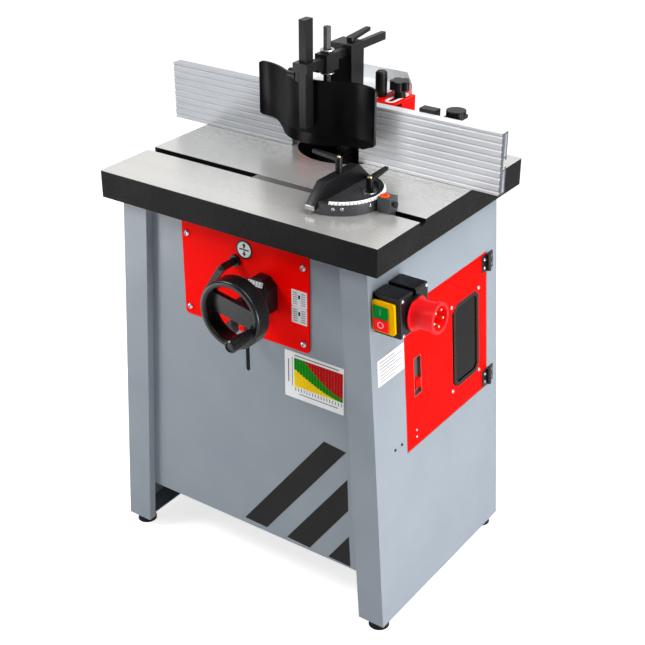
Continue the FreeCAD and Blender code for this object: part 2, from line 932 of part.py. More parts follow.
def height_clamp_lever():
    """The lever that locks the carriage: arm, hub, base ring and the long stud behind."""
    front = plate_y - clamp_hub_length
    arm = tapered_arm(clamp_hub_radius, clamp_arm_end, clamp_arm, front, front + clamp_arm_thick)
    arm.rotate(V(0, 0, 0), BACK, -clamp_arm_angle)
    base_y = plate_y - gap - clamp_base_length
    hub = rod(V(0, front, 0), BACK, clamp_hub_radius, base_y - front)
    base = rod(V(0, base_y, 0), BACK, clamp_base_radius, clamp_base_length)
    stud_end = way_y + lug_thick
    stud = rod(V(0, base_y, 0), BACK, clamp_stud, stud_end - base_y)
    lever = joined([arm, hub, base, stud])
    lever.translate(V(clamp_x, 0, clamp_z))
    return lever


def tension_knob():
    """The round knob on a rod that rides in the front slot with the carriage."""
    front = plate_y - tension_reach
    knob = rounded_knob(tension_knob_radius, tension_knob_length, tension_knob_round)
    knob.Placement = FreeCAD.Placement(V(0, front, tension_z), FreeCAD.Rotation(UP, BACK))
    collar_y = front + tension_knob_length
    collar = rod(V(0, collar_y, tension_z), BACK, tension_collar, tension_collar_length)
    end = carriage_y
    return joined([knob, collar, rod(V(0, collar_y, tension_z), BACK, tension_rod, end - collar_y)])


def rounded_knob(radius, length, edge):
    """A short cylinder with cut edges, standing on the origin."""
    return turned([(0, 0), (radius - edge, 0), (radius, edge), (radius, length - edge),
                   (radius - edge, length), (0, length)], V(0, 0, 0), UP)


def carriage_tongue():
    """What reaches through the slideway's slot: the tension rod's boss and the lead screw's nut."""
    front = carriage_y - way_thick - tongue_reach
    block = box(-tongue_left, tongue_right, front, carriage_y + dovetail_depth * 2, tongue_bottom, tongue_top)
    arm = box(tongue_right - overrun, drive_x, screw_y - nut_arm_half, screw_y + nut_arm_half,
              tongue_bottom, tongue_bottom + nut_height)
    nut = rod(V(drive_x, screw_y, tongue_bottom), UP, nut_radius, nut_height)
    return [block, arm, nut]


def motor_shelf():
    """The bracket beside the quill that the motor plate slides on, slotted for the motor shaft."""
    end = pulley_centres + shelf_end
    plate = box(0, end, -shelf_half, shelf_half, shelf_bottom, shelf_bottom + shelf_thick)
    slot = box(pulley_centres - shelf_slot_length / 2, pulley_centres + shelf_slot_length / 2,
               -shelf_slot_half, shelf_slot_half,
               shelf_bottom - overrun, shelf_bottom + shelf_thick + overrun)
    return plate.cut(slot)


def spindle_carriage():
    """The casting that rides on the dovetail and holds the quill, the nut and the motor shelf."""
    bottom, top = carriage_bottom, carriage_bottom + carriage_height
    slide = box(-carriage_half, carriage_half, carriage_y, 0, bottom, top)
    groove = prism_z(way_profile(gap), bottom - overrun, top + overrun)
    quill = rod(V(0, 0, bottom), UP, quill_radius, quill_height)
    casting = joined([slide.cut(groove), quill, motor_shelf()] + carriage_tongue())
    bore = rod(V(0, 0, bottom - overrun), UP, bearing_outer, quill_height + 2 * overrun)
    screw_bore = rod(V(drive_x, screw_y, bottom - overrun), UP, drive_radius + running, tongue_top - bottom)
    rod_bore = rod(V(0, carriage_y - way_thick - tongue_reach - overrun, tension_z), BACK,
                   tension_rod + running, way_thick + tongue_reach + overrun + pin_shoulder)
    return casting.cut([bore, screw_bore, rod_bore])


def spindle_bearings():
    """Two ball bearings in the quill, as closed rings."""
    low = carriage_bottom + bearing_inset
    high = carriage_bottom + quill_height - bearing_inset - bearing_width
    return [pipe(V(0, 0, z), UP, bearing_outer, bearing_inner + running, bearing_width) for z in (low, high)]


def spindle_shaft():
    """The stepped spindle: pulley seat, bearing length, arbor and threaded end."""
    journal_low = carriage_bottom + bearing_inset - pin_shoulder
    profile = [(0, spindle_bottom), (pulley_seat, spindle_bottom), (pulley_seat, journal_low),
               (bearing_inner, journal_low), (bearing_inner, arbor_shoulder), (arbor_radius, arbor_shoulder),
               (arbor_radius, arbor_top), (thread_radius, arbor_top),
               (thread_radius, arbor_top + thread_length),
               (0, arbor_top + thread_length)]
    return turned(profile, V(0, 0, 0), UP)


def spindle_rings():
    """The stack of spacer rings on the arbor and the hexagon nut above them."""
    rings = []
    z = arbor_shoulder
    for height in ring_heights:
        rings.append(pipe(V(0, 0, z), UP, ring_radius, arbor_radius, height))
        z += height
    corner = nut_flat / math.cos(math.radians(30))
    outline = [(corner * math.cos(math.radians(60 * i)), corner * math.sin(math.radians(60 * i)))
               for i in range(6)]
    nut = prism_z(outline, arbor_top, arbor_top + nut_thick)
    washer = pipe(V(0, 0, z), UP, ring_radius - ring_edge, arbor_radius, arbor_top - z)
    rings.append(washer)
    rings.append(nut.cut(rod(V(0, 0, arbor_top - overrun), UP, thread_radius, nut_thick + 2 * overrun)))
    return rings


def step_pulley(steps, x, bore):
    """A stepped belt pulley with a shallow groove on each step."""
    profile = [(bore, pulley_bottom)]
    z = pulley_bottom
    for radius in steps:
        edge = (pulley_step - belt_width) / 2 - gap
        profile += [(radius + pulley_groove, z), (radius + pulley_groove, z + edge), (radius, z + edge),
                    (radius, z + pulley_step - edge), (radius + pulley_groove, z + pulley_step - edge),
                    (radius + pulley_groove, z + pulley_step)]
        z += pulley_step
    profile.append((bore, z))
    return turned(profile, V(x, 0, 0), UP)


def belt_outline(extra):
    """The belt's path in plan as a closed wire, grown by a distance: two arcs and their tangents."""
    small = spindle_steps[belt_step] + extra
    large = motor_steps[belt_step] + extra
    lean_angle = math.asin((large - small) / pulley_centres)
    sine, cosine = math.sin(lean_angle), math.cos(lean_angle)
    tangent = [V(-small * sine, side * small * cosine, belt_bottom) for side in (-1, 1)]
    far = [V(pulley_centres - large * sine, side * large * cosine, belt_bottom) for side in (-1, 1)]
    near_arc = Part.Arc(tangent[1], V(-small, 0, belt_bottom), tangent[0]).toShape()
    far_arc = Part.Arc(far[0], V(pulley_centres + large, 0, belt_bottom), far[1]).toShape()
    runs = [Part.makeLine(tangent[0], far[0]), Part.makeLine(far[1], tangent[1])]
    return Part.Face(Part.Wire([near_arc, runs[0], far_arc, runs[1]]))


def drive_belt():
    """The flat ribbed belt round one pair of steps."""
    band = belt_outline(gap + belt_thick).cut(belt_outline(gap))
    return band.extrude(V(0, 0, belt_width))


def motor_plate():
    """The plate under the motor, with a hole for its shaft."""
    x0, x1 = pulley_centres - motor_plate_half, pulley_centres + motor_plate_half
    plate = box(x0, x1, -motor_plate_half, motor_plate_half, motor_plate_bottom, motor_bottom)
    hole = rod(V(pulley_centres, 0, motor_plate_bottom - overrun), UP, shelf_slot_half,
               motor_plate_thick + 2 * overrun)
    return plate.cut(hole)


def motor():
    """A finned motor standing on its plate, with a fan cowl on top."""
    base = V(pulley_centres, 0, motor_bottom)
    core = motor_radius - motor_fin
    body_height = motor_length - motor_cap
    body = rod(base, UP, core, body_height)
    cowl = turned([(0, body_height), (core, body_height), (core, body_height + motor_cap / 2),
                   (motor_cap_radius, motor_length), (0, motor_length)], base, UP)
    fins = []
    for i in range(motor_fin_count):
        fin = box(core - motor_fin, motor_radius, -motor_fin_width / 2, motor_fin_width / 2,
                  motor_cap, body_height - motor_cap)
        fin.rotate(V(0, 0, 0), UP, 360.0 * i / motor_fin_count)
        fin.translate(base)
        fins.append(fin)
    socket = rod(base - UP * overrun, UP, motor_shaft_radius + running, motor_cap + overrun)
    return joined([body, cowl] + fins).cut(socket)


def motor_shaft():
    """The motor's shaft end, which points down through the plate and the shelf."""
    top = motor_bottom + motor_cap - pin_shoulder
    return rod(V(pulley_centres, 0, spindle_bottom), UP, motor_shaft_radius, top - spindle_bottom)


def window_outline(grow):
    """The window's opening in y and z, with cut corners."""
    y0, y1 = window_front_y - grow, window_front_y + window_width + grow
    z0, z1 = window_bottom - grow, window_bottom + window_height + grow
    cut = window_chamfer
    return [(y0 + cut, z0), (y1 - cut, z0), (y1, z0 + cut), (y1, z1 - cut),
            (y1 - cut, z1), (y0 + cut, z1), (y0, z1 - cut), (y0, z0 + cut)]


def through_side(outline):
    """An outline in y and z pushed right through the right side."""
    return prism_x(outline, top_half - flange_width, bottom_half + flange_width)


def door():
    """The folded door sheet, with its window and latch openings."""
    y0, y1, z0, z1 = door_front_y, door_back_y, door_bottom, door_top
    pan = splayed(1, 0, door_fold, y0, y1, z0, z1)
    hollow = splayed(1, door_sheet, door_fold + overrun, y0 + door_sheet, y1 - door_sheet,
                     z0 + door_sheet, z1 - door_sheet)
    latch = splayed(1, -overrun, door_sheet + overrun, latch_front_y, latch_front_y + latch_width,
                    latch_bottom, latch_bottom + latch_height)
    return pan.cut([hollow, latch, through_side(window_outline(0))])


def door_window():
    """The smoked pane behind the door's opening."""
    pane = splayed(1, door_sheet, door_sheet + window_thick, window_front_y - window_lap,
                   window_front_y + window_width + window_lap, window_bottom - window_lap,
                   window_bottom + window_height + window_lap)
    return pane


def latch_cup():
    """The cup let into the door that the latch slides in."""
    y0, y1 = latch_front_y, latch_front_y + latch_width
    z0, z1 = latch_bottom, latch_bottom + latch_height
    cup = joined([splayed(1, 0, latch_depth, y0, y1, z0, z1),
                  splayed(1, door_sheet, door_sheet + latch_wall, y0 - latch_lip, y1 + latch_lip,
                          z0 - latch_lip, z1 + latch_lip)])
    return cup.cut(splayed(1, -overrun, latch_depth - latch_wall, y0 + latch_wall, y1 - latch_wall,
                           z0 + latch_wall, z1 - latch_wall))


def latch_slider():
    """The square slider in the cup, low in its travel."""
    y0 = latch_front_y + (latch_width - slider_width) / 2
    z0 = latch_bottom + latch_wall + slider_rise
    return splayed(1, -slider_proud, latch_depth - latch_wall - gap, y0, y0 + slider_width, z0,
                   z0 + slider_height)


def hinge_levels():
    """The bottom of each door hinge."""
    return door_bottom + hinge_inset, door_top - hinge_inset - hinge_height


def knuckle(z, low_share, high_share):
    """A length of a hinge's barrel about the leaning hinge line."""
    base = side_point(knuckle_radius, hinge_y, z) + lean * (hinge_height * low_share)
    return rod(base, lean, knuckle_radius, hinge_height * (high_share - low_share))


def hinge_leaf_plate(z, y0, y1):
    """The flat leaf of a hinge on the cabinet's or the door's face."""
    return splayed(1, -hinge_thick, 0, y0, y1, z, z + hinge_height)


def door_hinge_leaves():
    """The hinge halves on the cabinet: leaf, two end knuckles and the pin."""
    leaves = []
    low, middle_low, middle_high, high = knuckle_shares
    for z in hinge_levels():
        base = side_point(knuckle_radius, hinge_y, z)
        leaf = hinge_leaf_plate(z, hinge_y + knuckle_radius / 2, hinge_y + hinge_leaf)
        room = rod(base + lean * (hinge_height * middle_low), lean, knuckle_radius + gap,
                   hinge_height * (middle_high - middle_low))
        pin = rod(base, lean, hinge_pin, hinge_height)
        leaves.append(joined([leaf.cut(room), knuckle(z, low, middle_low), knuckle(z, middle_high, high),
                              pin]))
    return leaves


def door_hinge_flaps():
    """The hinge halves on the door: flap and middle knuckle."""
    flaps = []
    low, middle_low, middle_high, high = knuckle_shares
    inset = gap / hinge_height
    for z in hinge_levels():
        base = side_point(knuckle_radius, hinge_y, z)
        flap = hinge_leaf_plate(z, hinge_y - hinge_leaf, hinge_y - knuckle_radius / 2)
        rooms = [rod(base + lean * (hinge_height * low - overrun), lean, knuckle_radius + gap,
                     hinge_height * (middle_low - low) + overrun + gap),
                 rod(base + lean * (hinge_height * middle_high - gap), lean, knuckle_radius + gap,
                     hinge_height * (high - middle_high) + overrun + gap)]
        barrel = joined([flap.cut(rooms), knuckle(z, middle_low + inset, middle_high - inset)])
        flaps.append(barrel.cut(rod(base, lean, hinge_pin + running, hinge_height)))
    return flaps


def box_half(y0, y1, open_end):
    """Half of the switch box, with a shallow seam at the end where the halves meet."""
    half = rounded(splayed(1, -box_width, 0, y0, y1, box_bottom, box_top), box_round, BACK)
    seam0, seam1 = (y1 - box_seam, y1 + overrun) if open_end > 0 else (y0 - overrun, y0 + box_seam)
    frame = splayed(1, -box_width - overrun, overrun, seam0, seam1, box_bottom - overrun, box_top + overrun)
    core = splayed(1, -box_width + box_seam_depth, 0, seam0, seam1, box_bottom + box_seam_depth,
                   box_top - box_seam_depth)
    return half.cut(frame.cut(core))


def button_window(index, grow):
    """Where a button passes the bezel: 0 is the lower one and 1 the upper, in insets and levels."""
    left = -bezel_left - button_margin + grow
    right = -box_width + bezel_right + bezel_strip - grow
    inner_low = box_bottom + bezel_bottom + button_margin
    inner_high = box_top - bezel_top - button_head
    height = (inner_high - inner_low - button_gap) / 2
    low = inner_low + index * (height + button_gap)
    return right, left, low - grow, low + height + grow


def button(index):
    """One push button, which slides back into the switch box."""
    right, left, low, high = button_window(index, 0)
    front = box_front_y - bezel_thick - button_proud
    return splayed(1, right, left, front, box_front_y + button_pocket - button_travel - gap, low, high)


def button_pockets(y0, y1):
    """The wells that the buttons slide in."""
    pockets = []
    for index in (0, 1):
        right, left, low, high = button_window(index, gap)
        pockets.append(splayed(1, right, left, y0, y1, low, high))
    return pockets


def switch_box_front():
    """The front half of the switch box."""
    half = box_half(box_front_y, box_split_y, 1)
    return half.cut(button_pockets(box_front_y - overrun, box_front_y + button_pocket))


def switch_bezel():
    """The plate round the buttons, with a broad strip to their right."""
    plate = rounded(splayed(1, -box_width + bezel_right, -bezel_left, box_front_y - bezel_thick, box_front_y,
                            box_bottom + bezel_bottom, box_top - bezel_top), bezel_round, BACK)
    return plate.cut(button_pockets(box_front_y - bezel_thick - overrun, box_front_y + overrun))


def inlet_base():
    """The middle of the inlet's seat on the switch box."""
    z = (box_bottom + box_top) / 2 - inlet_drop
    return side_point(0, box_split_y, z) + V(box_width, 0, 0)


def mains_inlet():
    """A five-pin inlet: round flange, shroud with a thicker rim, floor and pins."""
    base = inlet_base()
    flange = rod(V(0, 0, 0), UP, inlet_flange_radius, inlet_flange_thick)
    shroud = rod(V(0, 0, 0), UP, inlet_radius - inlet_rim, inlet_length)
    rim = rod(V(0, 0, inlet_length - inlet_rim_length), UP, inlet_radius, inlet_rim_length)
    well = rod(V(0, 0, inlet_floor), UP, inlet_radius - inlet_rim - inlet_wall, inlet_length)
    body = joined([flange, shroud, rim]).cut(well)
    pins = []
    for i in range(inlet_pin_count):
        angle = 2 * math.pi * i / inlet_pin_count
        place = V(inlet_pin_circle * math.cos(angle), inlet_pin_circle * math.sin(angle),
                  inlet_floor - inlet_pin)
        pins.append(rod(place, UP, inlet_pin, inlet_pin_length + inlet_pin))
    inlet = joined([body] + pins)
    inlet.Placement = FreeCAD.Placement(base, FreeCAD.Rotation(UP, outward))
    return inlet


def fence_profile():
    """The fence's section in y and z: grooves down the face and a T-slot in the back."""
    y0, y1, z0, z1 = fence_y, fence_back_y, fence_bottom, fence_top
    points = [(y1, z0), (y0, z0)]
    pitch = fence_height / groove_count
    for i in range(groove_count):
        middle = z0 + pitch * (i + 1 / 2)
        low, high = middle - groove_height / 2, middle + groove_height / 2
        points += [(y0, low), (y0 + groove_depth, low), (y0 + groove_depth, high), (y0, high)]
    points += [(y0, z1), (y1, z1)]
    slot = z1 - tslot_drop
    mouth, head = tslot_mouth / 2, tslot_head / 2
    lip, bottom = y1 - tslot_lip, y1 - tslot_depth
    points += [(y1, slot + mouth), (lip, slot + mouth), (lip, slot + head), (bottom, slot + head),
               (bottom, slot - head), (lip, slot - head), (lip, slot - mouth), (y1, slot - mouth)]
    return points


def fence(x0, x1):
    """One fence half: the section along x, with a hollow above and below the T-slot."""
    bar = prism_x(fence_profile(), x0, x1)
    slot = fence_top - tslot_drop
    back = fence_back_y - chamber_wall
    high = slot + tslot_head / 2 + chamber_wall
    low = slot - tslot_head / 2 - chamber_wall
    hollows = [box(x0 - overrun, x1 + overrun, back - chamber_depth, back, high, fence_top - chamber_wall),
               box(x0 - overrun, x1 + overrun, back - chamber_depth, back, fence_bottom + chamber_wall, low)]
    return bar.cut(hollows)


def hood_top_plate():
    """The hood's top, which reaches out to the right with the star knob's slot in it."""
    low = hood_top - hood_sheet
    plates = [box(-hood_half, hood_half, hood_y, hood_back_y, low, hood_top),
              box(hood_half - hood_sheet, hood_right, hood_y, hood_y + hood_wing_depth, low, hood_top),
              box(hood_right - hood_sheet, hood_right, hood_y + hood_wing_start, hood_y + hood_wing_depth,
                  hood_top - hood_wing_drop, hood_top)]
    slot = box(star_x - star_slot_half, star_x + star_slot_half, hood_y + star_slot_front,
               hood_y + star_slot_back,
               low - overrun, hood_top + overrun)
    return joined(plates).cut(slot)


def fence_hood():
    """The sheet hood: side walls, top, feet on the table and the plate that the left fence lies against."""
    walls = [box(side * hood_half - (hood_sheet if side > 0 else 0),
                 side * hood_half + (0 if side > 0 else hood_sheet),
                 hood_y, hood_back_y, hood_bottom, hood_top) for side in (-1, 1)]
    feet_y = hood_y + hood_foot_start
    feet = [box(-hood_half - hood_foot, -hood_half, feet_y, hood_back_y, hood_bottom,
                hood_bottom + hood_sheet),
            box(hood_half, hood_half + hood_foot, feet_y, hood_back_y, hood_bottom, hood_bottom + hood_sheet)]
    plate = box(-hood_half - hood_left_plate, -hood_half, hood_y, hood_y + hood_sheet,
                fence_bottom + hood_left_margin, fence_top - hood_left_margin)
    return joined(walls + [hood_top_plate()] + feet + [plate])


def hood_back_panel():
    """The plate that closes the hood behind, higher than the hood and with cut corners."""
    high = hood_top + back_rise
    outline = [(-back_half, hood_bottom), (back_half, hood_bottom), (back_half, high - back_chamfer),
               (back_half - back_chamfer / 2, high), (-back_half + back_chamfer / 2, high),
               (-back_half, high - back_chamfer)]
    plate = prism_y(outline, hood_back_y, hood_back_y + hood_sheet)
    return plate.cut(rod(V(0, hood_back_y - overrun, port_z), BACK, port_radius - port_wall,
                         hood_sheet + 2 * overrun))


def dust_port():
    """The spigot for the extraction hose, on a round flange."""
    base = V(0, hood_back_y + hood_sheet, port_z)
    flange = pipe(base, BACK, port_radius + port_flange, port_radius - port_wall, hood_sheet)
    return joined([flange, pipe(base, BACK, port_radius, port_radius - port_wall, port_length)])


def hood_handle():
    """The upright grip on the hood's top."""
    grip = rounded_knob(handle_radius, handle_height, handle_round)
    grip.translate(V(handle_x, hood_y + handle_back, hood_top))
    return grip


def fence_carrier():
    """The angle behind the right fence: upright plate, leg under the hood's top, clamp block and shelf."""
    top = fence_top - carrier_top_drop
    low = fence_bottom + carrier_bottom_gap
    y1 = hood_y + carrier_thick
    leg_top = hood_top - hood_sheet - gap
    plate = box(carrier_left, carrier_right, hood_y, y1, low, top)
    leg = box(carrier_left, carrier_leg_right, hood_y, hood_y + carrier_leg_back,
              leg_top - carrier_leg_thick, leg_top)
    block = box(carrier_block_left, carrier_block_left + carrier_block_width, hood_y,
                hood_y + carrier_block_depth,
                top - carrier_block_width, fence_top + carrier_block_rise)
    shelf = box(knurl_x - knurl_shelf_half, knurl_x + knurl_shelf_half, hood_y, hood_y + knurl_shelf_depth,
                fence_top - knurl_shelf_drop - carrier_leg_thick, fence_top - knurl_shelf_drop)
    holes = [rod(V(star_x, hood_y + star_back, leg_top - carrier_leg_thick - overrun), UP,
                 star_stud + running,
                 carrier_leg_thick + 2 * overrun),
             rod(V(knurl_x, hood_y + knurl_back, fence_top - knurl_shelf_drop - carrier_leg_thick - overrun),
                 UP,
                 star_stud + running, carrier_leg_thick + 2 * overrun)]
    return joined([plate, leg, block, shelf]).cut(holes)


def star_knob():
    """The five-lobed knob over the hood's slot, with its foot and stud."""
    low = hood_top + gap
    stud_low = hood_top - hood_sheet - gap - carrier_leg_thick
    head_low = low + star_foot_height
    foot = Part.makeCone(star_foot_radius, star_foot_radius - gauge_washer_height, star_foot_height,
                         V(0, 0, low), UP)
    core = rod(V(0, 0, head_low), UP, star_radius - star_lobe_radius, star_height)
    lobes = []
    for i in range(star_lobes):
        angle = 2 * math.pi * i / star_lobes
        reach = star_radius - star_lobe_radius
        lobes.append(rod(V(reach * math.cos(angle), reach * math.sin(angle), head_low), UP, star_lobe_radius,
                         star_height))
    stud = rod(V(0, 0, stud_low), UP, star_stud, low - stud_low)
    knob = joined([foot, core, stud] + lobes)
    knob.translate(V(star_x, hood_y + star_back, 0))
    return knob


def knurled_knob():
    """The notched disc behind the right fence, on its stud."""
    low = fence_top - knurl_shelf_drop + gap
    stud_low = fence_top - knurl_shelf_drop - carrier_leg_thick
    disc = rod(V(0, 0, low), UP, knurl_radius, knurl_height)
    notches = []
    for i in range(knurl_count):
        angle = 2 * math.pi * i / knurl_count
        place = V(knurl_radius * math.cos(angle), knurl_radius * math.sin(angle), low - overrun)
        notches.append(rod(place, UP, knurl_notch, knurl_height + 2 * overrun))
    stud = rod(V(0, 0, stud_low), UP, star_stud, low - stud_low)
    knob = joined([disc.cut(notches), stud])
    knob.translate(V(knurl_x, hood_y + knurl_back, 0))
    return knob


def guard_post():
    """The square post on the hood, with a window through its head for the guard's bar."""
    y0, y1 = post_y, post_y + post_depth
    tube = box(-post_half, post_half, y0, y1, hood_top, post_top)
    hollow = box(-post_half + post_wall, post_half - post_wall, y0 + post_wall, y1 - post_wall,
                 hood_top - overrun, post_top)
    cap = box(-post_half, post_half, y0, y1, post_top, post_top + post_cap)
    foot = box(-post_half - post_foot, post_half + post_foot, y0, y1, hood_top, hood_top + post_wall)
    window = box(bar_x - bar_half - gap, bar_x + bar_half + gap, y0 - overrun, y1 + overrun,
                 bar_bottom - gap, bar_top + gap)
    stud_hole = rod(V(bar_x, (y0 + y1) / 2, post_top - overrun), UP, guard_lever_stud + running,
                    post_cap + 2 * overrun)
    return joined([tube.cut(hollow), cap, foot]).cut([window, stud_hole])


def hexagon(radius, x, y, z0, z1):
    """An upright six-sided bar."""
    outline = [(x + radius * math.cos(math.radians(60 * i)), y + radius * math.sin(math.radians(60 * i)))
               for i in range(6)]
    return prism_z(outline, z0, z1)


def guard_arm():
    """The sliding bar with its head, upright rod and collar for the guard's tube."""
    head_back = head_y + head_depth
    bar = box(bar_x - bar_half, bar_x + bar_half, head_back - overrun, bar_back, bar_bottom, bar_top)
    head = box(-head_half, head_half, head_y, head_back, head_bottom, bar_top)
    upright = hexagon(rod_radius, 0, -rod_front, rod_bottom, rod_top)
    collars = [rod(V(0, -rod_front, z), UP, rod_collar, rod_collar_height)
               for z in (head_bottom - rod_collar_height, bar_top)]
    x0, x1 = tube_x - tube_half - gap - collar_wall, tube_x + tube_half + gap + collar_wall
    y0, y1 = tube_y - gap - collar_wall, tube_y + tube_depth + gap + collar_wall
    low = collar_bottom
    neck = box(-neck_half, neck_half, y1 - collar_wall / 2, head_y + overrun, head_bottom + neck_lift,
               head_bottom + neck_lift + neck_height)
    collar = box(x0, x1, y0, y1, low, low + collar_height)
    lug = box(x0, x0 + collar_wall, tube_y, tube_y + tube_depth, low - collar_lug, low + collar_height)
    room = box(tube_x - tube_half - gap, tube_x + tube_half + gap, tube_y - gap, tube_y + tube_depth + gap,
               low - overrun, low + neck_height + overrun)
    stud_hole = rod(V(x0 - overrun, tube_y + tube_depth / 2, knob_z), RIGHT, knob_stud + running,
                    collar_wall + overrun)
    return joined([bar, head, upright, neck, collar, lug] + collars).cut([room, stud_hole])


def guard_tube():
    """The upright tube that carries the shield, closed at its top."""
    x0, x1 = tube_x - tube_half, tube_x + tube_half
    y0, y1 = tube_y, tube_y + tube_depth
    outer = rounded(box(x0, x1, y0, y1, tube_bottom, tube_top), tube_wall / 2, UP)
    hollow = box(x0 + tube_wall, x1 - tube_wall, y0 + tube_wall, y1 - tube_wall,
                 tube_bottom - overrun, tube_top - tube_wall)
    return outer.cut(hollow)


def shield_wire(z, flare, thick):
    """The shield's wavy outline in plan at one level, as a closed wire of two curves and two ends."""
    span = shield_left + shield_right
    points = [V(-shield_left + span * along, shield_y - shield_bulge * out - flare * out, z)
              for along, out in zip(shield_along_shares, shield_out_shares)]
    front = Part.BSplineCurve()
    front.interpolate(points)
    behind = []
    for point in points:
        tangent = front.tangent(front.parameter(point))[0]
        behind.append(point + UP.cross(tangent) * thick)
    back = Part.BSplineCurve()
    back.interpolate(behind)
    ends = [Part.makeLine(points[-1], behind[-1]), Part.makeLine(behind[0], points[0])]
    return Part.Wire([front.toShape(), ends[0], back.toShape(), ends[1]])


def shield_outline():
    """The shield's front view, as a block: both ends stop higher than the middle and have round corners."""
    left, right = -shield_left - shield_thick, shield_right + shield_thick
    low, high = shield_bottom, shield_top
    end = low + shield_end_rise
    outline = [(left, high), (left, end), (left + shield_left_flat, end), (left + shield_left_rise, low),
               (right - shield_right_rise, low), (right, end), (right, high)]
    block = prism_y(outline, shield_y - shield_bulge - shield_flare - overrun,
                    shield_y + shield_thick + overrun)
    corners = [edge for edge in block.Edges if len(edge.Vertexes) == 2
               and abs(edge.tangentAt(edge.FirstParameter).dot(BACK)) > parallel_share
               and (edge.CenterOfMass.x < left + gap or edge.CenterOfMass.x > right - gap)]
    return block.makeFillet(shield_corner, corners)


def guard_shield():
    """The wavy guard sheet, flared forward along its bottom edge, with a pad against its tube."""
    wall = Part.makeLoft([shield_wire(shield_wall_bottom, 0, shield_thick),
                          shield_wire(shield_top, 0, shield_thick)],
                         True, True)
    lip = Part.makeLoft([shield_wire(shield_bottom, shield_flare, shield_thick),
                         shield_wire(shield_wall_bottom, 0, shield_thick)], True, True)
    pad = box(tube_x - tube_half, tube_x + tube_half, tube_y + tube_depth,
              shield_y - shield_bulge + shield_thick / 2,
              tube_bottom, shield_top - shield_flare)
    return wall.fuse([lip, pad]).common(shield_outline())


def clamp_handle(hub_radius, hub_height, arm, end_radius, thick, rise):
    """A clamping lever about +z on the origin, its arm rising along +y."""
    hub = rod(V(0, 0, 0), UP, hub_radius, hub_height)
    low = hub_height - thick
    points = [(0, low), (arm, low + rise), (arm, low + rise + thick), (0, hub_height)]
    side = prism_x(points, -hub_radius, hub_radius)
    taper = prism_z([(-hub_radius, 0), (hub_radius, 0), (end_radius, arm), (-end_radius, arm)],
                    low - overrun, hub_height + rise + overrun)
    return joined([hub, side.common(taper)])


def guard_lever():
    """The lever on the post's head that locks the guard's bar."""
    lever = joined([clamp_handle(guard_lever_hub, guard_lever_height, guard_lever_arm, guard_lever_end,
                                 guard_lever_thick, guard_lever_rise),
                    rod(V(0, 0, -post_cap - gap), UP, guard_lever_stud, post_cap + gap)])
    lever.translate(V(bar_x, post_y + post_depth / 2, post_top + post_cap + gap))
    return lever


def guard_knob():
    """The knob on the collar that locks the guard's tube."""
    x0 = tube_x - tube_half - gap - collar_wall
    base = V(x0 - gap, tube_y + tube_depth / 2, knob_z)
    grip = rounded_knob(knob_radius, knob_length, pin_shoulder)
    grip.Placement = FreeCAD.Placement(base + LEFT * knob_neck_length, FreeCAD.Rotation(UP, LEFT))
    neck = rod(base, LEFT, knob_neck, knob_neck_length)
    return joined([grip, neck, rod(base, RIGHT, knob_stud, collar_wall)])


def mitre_bar():
    """The bar in the table's slot, with the pivot that the head turns on."""
    half = slot_width / 2 - gauge_bar_gap
    bar = box(gauge_x - gauge_bar_left, gauge_x + gauge_bar_right, slot_y - half, slot_y + half,
              table_top - slot_depth + gauge_bar_gap, gauge_bar_top)
    pivot = rod(V(gauge_x, slot_y, gauge_bar_top), UP, gauge_pivot, gauge_pivot_height)
    return joined([bar, pivot])


def pointer_block():
    """The block beside the scale, with a narrow foot on the bar."""
    x1 = pad_x + pad_width
    foot = slot_width / 2 - gauge_bar_gap
    return joined([box(pad_x, x1, slot_y - pad_half, slot_y + pad_half, gauge_disc_bottom,
                       gauge_bar_top + pad_height),
                   box(pad_x, x1, slot_y - foot, slot_y + foot, gauge_bar_top, gauge_disc_bottom)])


def mitre_head():
    """The half disc with its raised, bevelled rim, the strip under the fence and the lever's stud."""
    low, high = gauge_disc_bottom, gauge_disc_bottom + disc_height
    profile = [(0, low), (disc_radius, low), (disc_radius, high - disc_bevel),
               (disc_radius - disc_bevel, high),
               (disc_radius - disc_rim, high), (disc_radius - disc_rim, high - disc_recess),
               (0, high - disc_recess)]
    disc = turned(profile, V(gauge_x, slot_y, 0), UP)
    keep = box(gauge_x + disc_setback, gauge_x + disc_radius + overrun, slot_y - disc_radius - overrun,
               slot_y + disc_radius + overrun, low - overrun, high + overrun)
    strip = box(gauge_x - strip_reach, gauge_x + disc_setback, slot_y - strip_half, slot_y + strip_half,
                low, low + strip_height)
    stud = rod(V(gauge_lever_x, gauge_lever_y, high - disc_recess), UP, gauge_stud, disc_recess)
    bore = rod(V(gauge_x, slot_y, low - overrun), UP, gauge_pivot + running, gauge_pivot_height + overrun)
    return joined([disc.common(keep), strip, stud]).cut(bore)


def mitre_fence():
    """The gauge's fence block, sloped at both ends and grooved along its face."""
    x1 = gauge_x + disc_setback - gap
    low = gauge_disc_bottom + strip_height + gap
    foot, high = gauge_disc_bottom + fence_block_foot, gauge_disc_bottom + fence_block_height
    wide, narrow = fence_block_half, fence_block_top_half
    outline = [(slot_y - wide, low), (slot_y + wide, low), (slot_y + wide, foot), (slot_y + narrow, high),
               (slot_y - narrow, high), (slot_y - wide, foot)]
    block = prism_x(outline, x1 - fence_block_thick, x1)
    seat = rod(V(x1 - fence_block_thick / 2, slot_y, high - block_stud_depth), UP, gauge_stud + running,
               block_stud_depth + overrun)
    return block.cut(seat)


